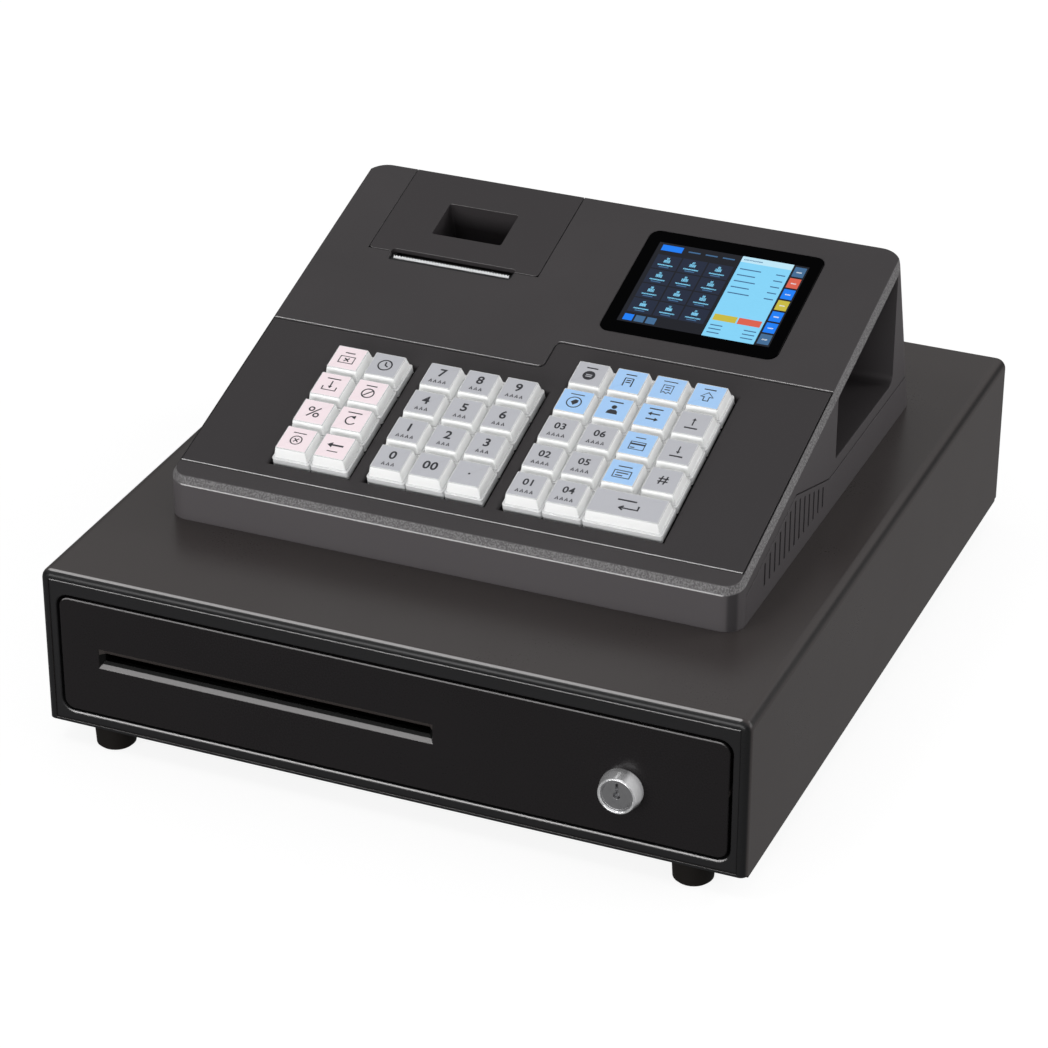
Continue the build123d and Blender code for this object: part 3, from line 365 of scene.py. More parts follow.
@dataclass(frozen=True)
class Band(Layer):
    """A colour painted between two levels, behind a front plane: painted shade inside a slot, and a painted reflection
    under its brow.
    """

    low: float
    high: float
    behind: float
    soft: ClassVar[float] = 0.1 * MM

    def share(self, paint: Paint, normal: Socket) -> Term:
        """How much of the layer shows, from 0 to 1."""
        behind = paint.along(1).between(self.behind, self.behind + self.soft)
        return paint.slab(2, self.low, self.high, self.soft, self.soft) * behind


@dataclass(frozen=True)
class Outline(Layer):
    """Painted lines along every eased edge, standing in for the dark refraction lines and the highlights at the edges
    of a clear key cap.
    """

    strength: float
    first_turn: ClassVar[float] = 0.015
    full_turn: ClassVar[float] = 0.12

    def share(self, paint: Paint, normal: Socket) -> Term:
        """How much of the layer shows, from 0 to 1."""
        plain = paint.node("ShaderNodeNewGeometry", {}).outputs["True Normal"]
        return (1 - paint.dot(normal, plain)).between(self.first_turn, self.full_turn) * self.strength


@dataclass(frozen=True)
class SlopedRim(Layer):
    """The bevel just under a plane that slopes up towards the back, painted lighter with light specks as a painted
    reflection.
    """

    light: Colour
    front: float
    height: float
    angle: float
    drop: float
    speck: ClassVar[float] = 0.7 * MM
    speck_range: ClassVar[Point] = (0.36, 0.66)
    foot: ClassVar[Point] = (-0.15 * MM, 0.05 * MM)
    brow: ClassVar[Point] = (-0.35 * MM, -0.15 * MM)

    def share(self, paint: Paint, normal: Socket) -> Term:
        """How much of the layer shows, from 0 to 1."""
        above = paint.above_slope(self.front, self.height, self.angle)
        return above.between(self.foot[0] - self.drop, self.foot[1] - self.drop) * (1 - above.between(*self.brow))

    def tint(self, paint: Paint) -> Socket:
        """Colour of the layer, with the light specks of its painted reflection."""
        return paint.mix(paint.noise(self.speck).between(*self.speck_range), self.colour, self.light)


# ---------------------------------------------------------------- finishes
@dataclass(frozen=True)
class Grained:
    """Moulded plastic, rubber or paint: one colour with faint drift over a fine even grain."""

    name: str
    colour: Colour
    roughness: float
    specular: float = 0.5
    grain: float = 0.5 * MM
    relief: float = 0.03 * MM
    drift: float = 0.06
    speckle: float = 0.0
    edge: float = 0.4 * MM
    coat: float = 0.0
    layers: tuple[Layer, ...] = ()
    cloud: ClassVar[float] = 50.0 * MM
    coat_roughness: ClassVar[float] = 0.08
    speckle_range: ClassVar[Point] = (0.42, 0.62)

    def make(self) -> Material:
        """Build the material.

        Returns:
            The material.
        """
        paint = Paint(self.name)
        grain, cloud = paint.noise(self.grain, 3.0), paint.noise(self.cloud, 3.0)
        tone = cloud * (1 - self.speckle) + grain.between(*self.speckle_range) * self.speckle
        spread = self.drift + self.speckle
        colour = paint.mix(tone, shade(self.colour, 1 - spread), shade(self.colour, 1 + spread))
        eased = paint.eased(self.edge)
        # The layers paint highlights, shade and reflections into the colour.
        for layer in self.layers:
            colour = paint.mix(layer.share(paint, eased), colour, layer.tint(paint))
        paint.set(
            Base_Color=colour,
            Roughness=paint.uneven(cloud, grain, self.roughness),
            Specular_IOR_Level=self.specular,
            Coat_Weight=self.coat,
            Coat_Roughness=self.coat_roughness,
        )
        paint.bump(grain, self.relief, eased)
        return paint.material


@dataclass(frozen=True)
class Metal:
    """Plated or brushed metal with fine streaks along one axis."""

    name: str
    colour: Colour
    roughness: float
    streak: Way = EVEN
    grain: float = 0.4 * MM
    relief: float = 0.01 * MM
    metallic: float = 1.0
    matt_way: Way | None = None
    edge: ClassVar[float] = 0.2 * MM
    smudge: ClassVar[float] = 6.0 * MM
    dull: ClassVar[float] = 0.88
    matt_range: ClassVar[Point] = (0.62, 0.86)

    def make(self) -> Material:
        """Build the material.

        Returns:
            The material.
        """
        paint = Paint(self.name)
        streaks = paint.noise(self.grain, 3.0, self.streak)
        eased = paint.eased(self.edge)
        metallic = self.metallic
        # Painted light: faces that look this way lose their metal, so their plain colour shows bright under the side
        # lamps.
        if self.matt_way:
            metallic = self.metallic - paint.towards(eased, self.matt_way).between(*self.matt_range) * self.metallic
        paint.set(
            Base_Color=paint.mix(streaks, shade(self.colour, self.dull), self.colour),
            Metallic=metallic,
            Roughness=paint.uneven(paint.noise(self.smudge), streaks, self.roughness),
        )
        paint.bump(streaks, self.relief, eased)
        return paint.material


@dataclass(frozen=True)
class Glow:
    """One lit colour of the screen, behind the gloss of its glass."""

    name: str
    colour: Colour
    strength: ClassVar[float] = 0.92
    pixel: ClassVar[float] = 0.4 * MM
    rows: ClassVar[Way] = (0.2, 1.0, 1.0)
    unlit: ClassVar[tuple[Colour, Colour]] = ((0.004, 0.004, 0.005), (0.006, 0.006, 0.007))
    flicker: ClassVar[float] = 0.04
    roughness: ClassVar[float] = 0.08
    specular: ClassVar[float] = 0.15

    def make(self) -> Material:
        """Build the material: pixels in fine rows that shine faintly unevenly.

        Returns:
            The material.
        """
        paint = Paint(self.name)
        rows = paint.noise(self.pixel, 1.0, self.rows)
        paint.set(
            Base_Color=paint.mix(rows, *self.unlit),
            Emission_Color=paint.mix(rows, shade(self.colour, 1 - self.flicker), shade(self.colour, 1 + self.flicker)),
            Emission_Strength=self.strength,
            Roughness=self.roughness,
            Specular_IOR_Level=self.specular,
        )
        return paint.material


# Painted light: the two greys are painted highlights on edges that face the lamps, and the black is painted shade on
# the casing.
PAINTED_HIGHLIGHT_GREY: Colour = (0.42, 0.41, 0.41)
PAINTED_HIGHLIGHT_PALE: Colour = (0.8, 0.79, 0.79)
PAINTED_SHADE_BLACK: Colour = (0.0085, 0.0085, 0.0090)


class Finishes:
    """All finishes of the register, each made once, when first used."""

    recipes = {recipe.name: recipe for recipe in (
        Grained(
            "casing_paint", (0.0465, 0.0403, 0.0394),
            roughness=0.30, specular=0.25, grain=0.7 * MM, relief=0.02 * MM, edge=0.5 * MM,
            layers=(
                # Painted shade: the faces that look to the front and the fold between the top and the right side are
                # darkened.
                Facing(PAINTED_SHADE_BLACK, way=(0.0, -1.0, 0.0), low=0.3, high=0.7),
                Facing(PAINTED_SHADE_BLACK, way=(0.8, 0.0, 0.6), low=0.93, high=1.03),
                # Painted highlight on the fold between the top and the front.
                Facing(PAINTED_HIGHLIGHT_GREY, way=(-0.05, -0.42, 0.90), low=0.968, high=0.994, strength=0.8),
            ),
        ),
        Grained(
            "bezel_paint", (0.0110, 0.0108, 0.0114),
            roughness=0.36, specular=0.22, grain=0.7 * MM, relief=0.02 * MM, edge=1.2 * MM,
            # Painted highlight on the bezel's edges between the front and the top.
            layers=(Facing((0.55, 0.54, 0.54)),),
        ),
        Grained(
            "deck_grain", (0.0370, 0.0333, 0.0350),
            # Painted highlight on the edges between the front and the top.
            roughness=0.50, specular=0.22, layers=(Facing(PAINTED_HIGHLIGHT_GREY, strength=0.6),),
        ),
        Grained("black_plastic", (0.012, 0.012, 0.013), roughness=0.45, specular=0.4),
        Grained("till_plastic", (0.020, 0.020, 0.022), roughness=0.55, specular=0.4, grain=0.8 * MM, relief=0.06 * MM),
        Grained(
            "foot_rubber", (0.0070, 0.0058, 0.0050),
            roughness=0.62, specular=0.12, grain=0.6 * MM, relief=0.05 * MM,
        ),
        Grained("roller_rubber", (0.016, 0.016, 0.016), roughness=0.7, specular=0.3),
        Grained(
            "till_paper", (0.80, 0.80, 0.77),
            roughness=0.75, specular=0.3, grain=0.3 * MM, relief=0.01 * MM, drift=0.02,
        ),
        Grained(
            "key_white", (0.94, 0.945, 0.94),
            roughness=0.25, specular=0.5, grain=1.2 * MM, relief=0.004 * MM, drift=0.012, edge=0.8 * MM, coat=0.2,
            # Painted dark lines along the edges, standing in for the clear cap's refraction.
            layers=(Outline((0.17, 0.18, 0.19), strength=0.8),),
        ),
        Grained(
            "key_clear", (0.58, 0.585, 0.59),
            roughness=0.14, specular=0.5, grain=1.0 * MM, relief=0.004 * MM, drift=0.10, edge=0.7 * MM, coat=0.5,
            # Painted highlight along the edges of the clear skirt.
            layers=(Outline((0.88, 0.88, 0.88), strength=0.9),),
        ),
        Grained("ink", (0.018, 0.018, 0.024), roughness=0.4, specular=0.4, grain=0.4 * MM, relief=0.002 * MM),
        Grained(
            "screen_glass", (0.0004, 0.0004, 0.0006),
            roughness=0.08, specular=0.01, grain=2.0 * MM, relief=0.001 * MM, edge=0.3 * MM,
        ),
        Metal("casing_steel", (0.55, 0.56, 0.57), roughness=0.34, streak=(1.0, 0.05, 1.0)),
        Metal("bare_plate", (0.50, 0.51, 0.52), roughness=0.38, streak=(0.05, 1.0, 1.0)),
        Metal("tear_steel", (0.86, 0.87, 0.88), roughness=0.30, streak=(0.05, 1.0, 1.0), metallic=0.6),
        # Painted light: the lock's right side is made lighter.
        Metal(
            "nickel", (0.90, 0.90, 0.91),
            roughness=0.10, streak=EVEN, grain=0.8 * MM, metallic=0.75, matt_way=(0.9, -0.1, 0.42),
        ),
        Metal(
            "plug_face", (0.44, 0.44, 0.45),
            roughness=0.30, streak=(1.0, 1.0, 0.3), grain=0.6 * MM, relief=0.02 * MM,
        ),
    )}

    def __init__(self) -> None:
        """Start with nothing made."""
        self.made: dict[str, Material] = {}

    def get(self, name: str) -> Material:
        """The finished material of that name."""
        return self.add(self.recipes[name])

    def add(self, recipe: Grained | Metal | Glow) -> Material:
        """The material of any recipe, made once.

        Args:
            recipe: The finish.

        Returns:
            Its material.
        """
        if recipe.name not in self.made:
            self.made[recipe.name] = recipe.make()
        return self.made[recipe.name]


# ---------------------------------------------------------------- modelling tools
class Bench:
    """Hand tools for one mesh at a time: primitives, cuts in edit mode and finishing."""

    smooth_angle = math.radians(50)
    bevel_angle = math.radians(25)
    corner_segments = 3
    edge_segments = 2
    lined_up = 0.9

    @staticmethod
    def hold(*pieces: Piece) -> None:
        """Select these pieces alone, with the first one active, or nothing at all."""
        for other in bpy.context.view_layer.objects:
            other.select_set(other in pieces)
        if pieces:
            bpy.context.view_layer.objects.active = pieces[0]

    @staticmethod
    def taken(name: str) -> Piece:
        """Name the piece that was just added and put its place into its mesh.

        Args:
            name: Name of the piece.

        Returns:
            The piece.
        """
        piece = bpy.context.active_object
        piece.name = name
        bpy.ops.object.transform_apply(location=True, rotation=True, scale=True)
        return piece

    @staticmethod
    def block(name: str, low: Vector, high: Vector) -> Piece:
        """A block between two corners.

        Args:
            name: Name of the piece.
            low: Corner with the lowest coordinates.
            high: Corner with the highest ones.

        Returns:
            The block.
        """
        Bench.hold()
        bpy.ops.mesh.primitive_cube_add(size=1, location=(low + high) / 2, scale=high - low)
        return Bench.taken(name)

    @staticmethod
    def disc(name: str, radius: float, height: float, sides: int) -> Piece:
        """A filled circle round the Z axis, facing up.

        Args:
            name: Name of the piece.
            radius: Radius of the circle.
            height: Its level.
            sides: How many sides it has.

        Returns:
            The circle.
        """
        Bench.hold()
        bpy.ops.mesh.primitive_circle_add(vertices=sides, radius=radius, fill_type="NGON", location=(0, 0, height))
        return Bench.taken(name)

    @staticmethod
    def sheet(name: str, middle: Way, width: float, length: float) -> Piece:
        """A flat rectangle, facing up.

        Args:
            name: Name of the piece.
            middle: Its middle.
            width: Its size along X.
            length: Its size along Y.

        Returns:
            The rectangle.
        """
        Bench.hold()
        bpy.ops.mesh.primitive_plane_add(size=1, location=middle)
        bpy.context.active_object.scale = (width, length, 1)
        return Bench.taken(name)

    @staticmethod
    @contextmanager
    def editing(piece: Piece, kind: str = "FACE") -> Iterator[None]:
        """Edit mode on one piece, with nothing selected at first.

        Args:
            piece: The piece to edit.
            kind: What is selected: FACE or EDGE.

        Yields:
            Nothing; edit mode lasts as long as the block does.
        """
        Bench.hold(piece)
        bpy.ops.object.mode_set(mode="EDIT")
        bpy.ops.mesh.select_mode(type=kind)
        bpy.ops.mesh.select_all(action="DESELECT")
        yield
        bpy.ops.object.mode_set(mode="OBJECT")

    @staticmethod
    def pick(piece: Piece, wanted: Callable[[object], bool], kind: str = "faces") -> None:
        """Select parts of a piece, in edit mode.

        Args:
            piece: The piece in edit mode.
            wanted: Test that a part has to pass.
            kind: faces or edges.
        """
        mesh = bmesh.from_edit_mesh(piece.data)
        parts = getattr(mesh, kind)
        for part in parts:
            part.select_set(False)
        for part in parts:
            if wanted(part):
                part.select_set(True)
        bmesh.update_edit_mesh(piece.data)

    @staticmethod
    def runs_along(edge: bmesh.types.BMEdge, axis: int) -> bool:
        """Whether an edge lies along an axis."""
        return abs((edge.verts[0].co - edge.verts[1].co).normalized()[axis]) > Bench.lined_up

    @staticmethod
    def round_corners(piece: Piece, axis: int, radius: float) -> None:
        """Round the edges that run along one axis.

        Args:
            piece: The piece to round.
            axis: X (0), Y (1) or Z (2).
            radius: Radius of the corners.
        """
        with Bench.editing(piece, "EDGE"):
            Bench.pick(piece, lambda edge: Bench.runs_along(edge, axis), "edges")
            bpy.ops.mesh.bevel(offset=radius, segments=Bench.corner_segments)

    @staticmethod
    def raise_by(height: float, scale: Point = (1.0, 1.0), middle: Way = (0, 0, 0)) -> None:
        """Extrude what is selected up by `height`, then scale it about `middle` across X and Y.

        Args:
            height: How far up.
            scale: Factors across X and Y.
            middle: Point that stays in place.
        """
        bpy.ops.mesh.extrude_region_move(TRANSFORM_OT_translate={"value": (0, 0, height)})
        if scale != (1.0, 1.0):
            bpy.ops.transform.resize(value=(*scale, 1), center_override=middle)

    @staticmethod
    def ease(piece: Piece, width: float) -> None:
        """Round the piece's edges with an applied Bevel modifier, then shade it smooth.

        Args:
            piece: The piece to finish.
            width: Width of the rounding.
        """
        Bench.hold(piece)
        bevel = piece.modifiers.new("eased_edges", "BEVEL")
        bevel.width = width
        bevel.segments = Bench.edge_segments
        bevel.limit_method = "ANGLE"
        bevel.angle_limit = Bench.bevel_angle
        bevel.harden_normals = False
        bpy.ops.object.modifier_apply(modifier=bevel.name)
        bpy.ops.object.shade_smooth_by_angle(angle=Bench.smooth_angle)

    @staticmethod
    def join(name: str, pieces: list[Piece]) -> Piece:
        """Join pieces into the first one.

        Args:
            name: Name of the result.
            pieces: What is joined.

        Returns:
            The joined piece.
        """
        Bench.hold(*pieces)
        if len(pieces) > 1:
            bpy.ops.object.join()
        pieces[0].name = name
        return pieces[0]

    @staticmethod
    def twin(piece: Piece, name: str) -> Piece:
        """A copy of a piece with its own mesh.

        Args:
            piece: What is copied.
            name: Name of the copy.

        Returns:
            The copy.
        """
        copy = piece.copy()
        copy.data = piece.data.copy()
        copy.name = name
        bpy.context.scene.collection.objects.link(copy)
        return copy


@dataclass(frozen=True)
class Deck:
    """The console's sloping top: X across, Y up the slope, Z off its surface."""

    front: float
    height: float
    angle: float = math.radians(16.5)

    @classmethod
    def of_frame(cls, nose: float = 21.3 * MM) -> "Deck":
        """The deck of the loaded frame, whose front edge is `nose` above the cabinet's top."""
        return cls(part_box("console_housing")[0][1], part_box("cabinet_shell")[1][2] + nose)

    def lay(self, piece: Piece, x: float, along: float, above: float = 0.0) -> None:
        """Put a piece that was made flat at the origin onto the deck."""
        slope = Matrix.Translation((0, self.front, self.height)) @ Matrix.Rotation(self.angle, 4, "X")
        piece.data.transform(slope @ Matrix.Translation((x, along, above)))


# ---------------------------------------------------------------- printed marks
@dataclass(frozen=True)
class Mark:
    """A printed mark: pen lines, filled spots and digits, in millimetres from its middle."""

    lines: tuple[Line, ...] = ()
    fills: tuple[Line, ...] = ()
    digits: str = ""
    digit_size: float = 5.4
    digit_lift: float = 0.0
    pen: float = 0.42


def path(*numbers: float) -> Line:
    """Points from a run of X and Y values in turn."""
    return tuple(zip(numbers[::2], numbers[1::2]))


def ring(x: float, y: float, radius: float, start: float = 0.0, end: float = 360.0, steps: int = 20) -> Line:
    """Points of an arc in millimetres, from one angle to another in degrees."""
    angles = [math.radians(start + (end - start) * step / steps) for step in range(steps + 1)]
    return tuple((x + radius * math.cos(angle), y + radius * math.sin(angle)) for angle in angles)


def frame_line(width: float, height: float, y: float = 0.0) -> Line:
    """Closed outline of a rectangle."""
    half, low, high = width / 2, y - height / 2, y + height / 2
    return path(-half, low, half, low, half, high, -half, high, -half, low)


def dash(width: float, y: float, x: float = 0.0) -> Line:
    """A level pen line."""
    return path(x - width / 2, y, x + width / 2, y)


def arrow(degrees: float, y: float, size: float) -> Line:
    """Outline of an arrow that points left, turned, scaled and moved up.

    Args:
        degrees: Angle that it is turned by.
        y: Height of its middle.
        size: Scale.

    Returns:
        Its corners.
    """
    cosine, sine = math.cos(math.radians(degrees)), math.sin(math.radians(degrees))
    line = path(-3.6, 0.0, -1.4, 1.5, -1.4, 0.45, 3.4, 0.45, 3.4, -0.45, -1.4, -0.45, -1.4, -1.5)
    return tuple((size * (a * cosine - b * sine), y + size * (a * sine + b * cosine)) for a, b in line)


def numbered(digits: str, carets: int = 0, size: float = 7.0) -> Mark:
    """Digits over a row of small carets.

    Args:
        digits: The digits.
        carets: How many carets.
        size: Height of the digits.

    Returns:
        The mark.
    """
    pitch, half, foot, peak, lift = 2.3, 0.6, -4.9, -3.0, 1.7
    middles = [(place - (carets - 1) / 2) * pitch for place in range(carets)]
    lines = tuple(path(x - half, foot, x, peak, x + half, foot) for x in middles)
    return Mark(lines, digits=digits, digit_size=size, digit_lift=lift if carets else 0.0, pen=0.45)


MARKS: dict[str, Mark] = {
    "clear": Mark((ring(0, -0.7, 2.7), path(-1.1, -1.8, 1.1, 0.4), path(-1.1, 0.4, 1.1, -1.8), dash(6.4, 4.0))),
    "vat": Mark((ring(-1.7, 1.7, 1.2), ring(1.7, -1.9, 1.2), path(-2.6, -3.2, 2.6, 3.0)), pen=0.55),
    "received": Mark(
        (path(-3.4, -1.2, -3.4, -3.6, 3.4, -3.6, 3.4, -1.2), dash(6.8, 4.1)), (arrow(90, 0.2, 0.72),), pen=0.5
    ),
    "escape": Mark(
        (frame_line(7.2, 4.4, -1.2), path(-1.2, -2.3, 1.2, -0.1), path(-1.2, -0.1, 1.2, -2.3), dash(5.0, 3.4)), pen=0.5
    ),
    "backspace": Mark((dash(5.2, -3.2),), (arrow(0, 0.9, 1.15),)),
    "refund": Mark((ring(0, -0.9, 2.6, 60, 330), dash(7.0, 4.2)), (path(1.2, 2.6, 1.4, 0.2, -0.8, 1.4),), pen=0.5),
    "void": Mark((ring(0, -0.9, 2.9), path(-2.05, -2.95, 2.05, 1.15), dash(5.4, 4.1)), pen=0.5),
    "time": Mark((ring(0, 0, 3.3), path(0, 0, 0, 2.2), path(0, 0, 1.6, -0.9)), pen=0.55),
    "0": numbered("0", 3),
    "00": numbered("00"),
    "point": Mark(fills=(ring(0, 0, 0.55),)),
    "discount": Mark(
        (ring(0, -0.6, 3.4), dash(6.6, 4.6)), (path(-1.6, -0.4, 0.2, 1.4, 1.8, 1.0, 1.8, -0.6, 0.0, -2.4),)
    ),
    "lookup": Mark(
        (dash(5.4, 4.0),),
        (
            ring(0, -0.9, 3.0),
            path(-1.5, -0.2, 1.5, -0.2, 1.5, -0.8, -1.5, -0.8),
            path(-1.5, -1.3, 1.5, -1.3, 1.5, -1.9, -1.5, -1.9),
        ),
        pen=0.6,
    ),
    "clerk": Mark(
        (dash(6.4, 4.4),),
        (ring(0, 1.1, 1.25), path(-2.7, -3.4, 2.7, -3.4, 2.3, -1.5, 1.2, -0.6, -1.2, -0.6, -2.3, -1.5)),
        pen=0.6,
    ),
    "feed": Mark(
        (path(-2.0, -3.3, -2.0, 2.0, 2.0, 2.0, 2.0, -3.3), dash(2.4, 0.6), dash(2.4, -0.8), dash(5.2, 4.3)), pen=0.5
    ),
    "cheque": Mark((frame_line(8.0, 4.4, -1.2), dash(3.4, -2.2, -1.2), dash(5.6, -0.5), dash(6.6, 3.6)), pen=0.5),
    "card": Mark(
        (frame_line(7.0, 4.8, -1.2), dash(2.0, -2.6, -1.8), dash(4.8, 4.0)), (frame_line(7.0, 1.0, -0.2)[:4],), pen=0.45
    ),
    "exchange": Mark((dash(6.6, 4.7),), (arrow(0, 1.5, 0.85), arrow(180, -2.0, 0.85)), pen=0.6),
    "receipt": Mark(
        (
            path(-2.4, 2.2, -2.4, -3.2, -1.2, -2.3, 0.0, -3.2, 1.2, -2.3, 2.4, -3.2, 2.4, 2.2, -2.4, 2.2),
            dash(2.6, 0.8),
            dash(2.6, -0.8),
            dash(6.8, 4.6),
        ),
        pen=0.45,
    ),
    "subtotal": Mark(
        (path(-1.6, -2.6, -0.7, 2.6), path(0.7, -2.6, 1.6, 2.6), dash(4.8, 0.9), dash(4.8, -0.9)), pen=0.55
    ),
    "page_down": Mark((dash(6.2, -3.0),), (arrow(90, 1.2, 0.7),), pen=0.7),
    "page_up": Mark((dash(6.2, -3.0),), (arrow(-90, 1.2, 0.7),), pen=0.7),
    "shift": Mark(
        (
            path(-1.2, -3.2, -1.2, -0.6, -3.0, -0.6, 0.0, 2.4, 3.0, -0.6, 1.2, -0.6, 1.2, -3.2, -1.2, -3.2),
            dash(5.8, 4.3),
        ),
        pen=0.5,
    ),
    "enter": Mark(
        (dash(9.0, 2.6, -1.0), path(5.4, 0.4, 5.4, -2.2, -3.4, -2.2), path(-1.4, -0.9, -3.4, -2.2, -1.4, -3.5)), pen=0.7
    ),
    **{f"{number}": numbered(f"{number}", 4 if number in (1, 7, 9) else 3) for number in range(1, 10)},
    **{f"dept_0{number}": numbered(f"0{number}", 4, 5.6) for number in range(1, 7)},
}


class Printer:
    """Prints marks as thin meshes that lie on a face."""

    thickness = 0.02 * MM
    weight = 1.3
    boldness = 0.024
    digit_steps = 3
    spacing = 1.05

    def __init__(self, ink: Material) -> None:
        """Print with this material."""
        self.ink = ink

    @staticmethod
    def _trace(curve: bpy.types.Curve, line: Line, closed: bool) -> None:
        """Add one line to a curve.

        Args:
            curve: The curve that takes it.
            line: Points in millimetres.
            closed: Whether its ends meet.
        """
        spline = curve.splines.new("POLY")
        spline.points.add(len(line) - 1)
        for place, point in zip(spline.points, line):
            place.co = (point[0] * MM, point[1] * MM, 0, 1)
        spline.use_cyclic_u = closed

    def _strokes(self, mark: Mark) -> Piece:
        """The mark's pen lines as flattened tubes.

        Args:
            mark: The mark.

        Returns:
            Their mesh object.
        """
        curve = bpy.data.curves.new("strokes", "CURVE")
        curve.dimensions = "3D"
        curve.bevel_depth = mark.pen * self.weight * MM / 2
        curve.bevel_resolution = 0
        for line in mark.lines:
            closed = line[0] == line[-1]
            self._trace(curve, line[:-1] if closed else line, closed)
        return self._flat(curve, self.thickness / (mark.pen * self.weight * MM))

    def _fills(self, mark: Mark) -> Piece:
        """The mark's filled outlines; an outline inside another one leaves a hole.

        Args:
            mark: The mark.

        Returns:
            Their mesh object.
        """
        curve = bpy.data.curves.new("fills", "CURVE")
        curve.dimensions = "2D"
        curve.fill_mode = "BOTH"
        for line in mark.fills:
            self._trace(curve, line, True)
        return self._flat(curve, 1.0)

    def _digits(self, mark: Mark) -> Piece:
        """The mark's digits.

        Args:
            mark: The mark.

        Returns:
            Their mesh object.
        """
        curve = bpy.data.curves.new("digits", "FONT")
        curve.body = mark.digits
        curve.size = mark.digit_size * MM
        curve.align_x = curve.align_y = "CENTER"
        curve.offset = self.boldness * curve.size
        curve.resolution_u = self.digit_steps
        curve.space_character = self.spacing
        piece = self._flat(curve, 1.0)
        piece.data.transform(Matrix.Translation((0, mark.digit_lift * MM, 0)))
        return piece

    @staticmethod
    def _flat(curve: bpy.types.Curve, squeeze: float) -> Piece:
        """A mesh object of a curve, squeezed flat.

        Args:
            curve: The curve or text.
            squeeze: Scale of its height.

        Returns:
            The mesh object.
        """
        piece = bpy.data.objects.new(curve.name, curve)
        bpy.context.scene.collection.objects.link(piece)
        Bench.hold(piece)
        bpy.ops.object.convert(target="MESH")
        piece = bpy.context.active_object
        piece.data.transform(Matrix.Scale(squeeze, 4, (0, 0, 1)))
        return piece

    def print(self, name: str, mark: Mark) -> Piece:
        """Print one mark, flat at the origin and facing up.

        Args:
            name: Name of the printed piece.
            mark: What to print.

        Returns:
            The printed mesh.
        """
        kinds = ((mark.lines, self._strokes), (mark.fills, self._fills), (mark.digits, self._digits))
        parts = [press(mark) for wanted, press in kinds if wanted]
        for part in parts:
            part.data.materials.clear()
            part.data.materials.append(self.ink)
        return Bench.join(name, parts)


# ---------------------------------------------------------------- sub-assemblies
@dataclass
class SubAssembly:
    """Pieces of the register that belong together, and the finishes of their CAD nodes."""

    finishes: Finishes
    deck: Deck
    built: list[Piece] = field(default_factory=list, init=False)
    finish_of: ClassVar[dict[str, str]] = {}

    def build(self) -> None:
        """Model the scene's own pieces, where there are any."""

    def dress(self, nodes: Nodes) -> None:
        """Give the CAD nodes their finishes."""
        for node, finish in self.finish_of.items():
            self.paint(nodes[node], self.finishes.get(finish))

    def report(self) -> None:
        """Log each piece of the scene's own."""
        for piece in self.built:
            log.info("%s: %s, %d faces", type(self).__name__, piece.name, len(piece.data.polygons))

    @staticmethod
    def paint(node: Piece, material: Material) -> None:
        """Put one finish on a CAD node."""
        for slot in node.material_slots:
            slot.material = material
        log.info("%s: %s", node.name, material.name)


class KeyTint(Enum):
    """Colour of the card under a key's clear cap."""

    GREY = (190, 191, 197)
    PINK = (255, 238, 243)
    BLUE = (170, 211, 255)


class KeyPart(Enum):
    """Material slots of a key."""

    CAP = 0
    CARD = 1
    CLEAR = 2


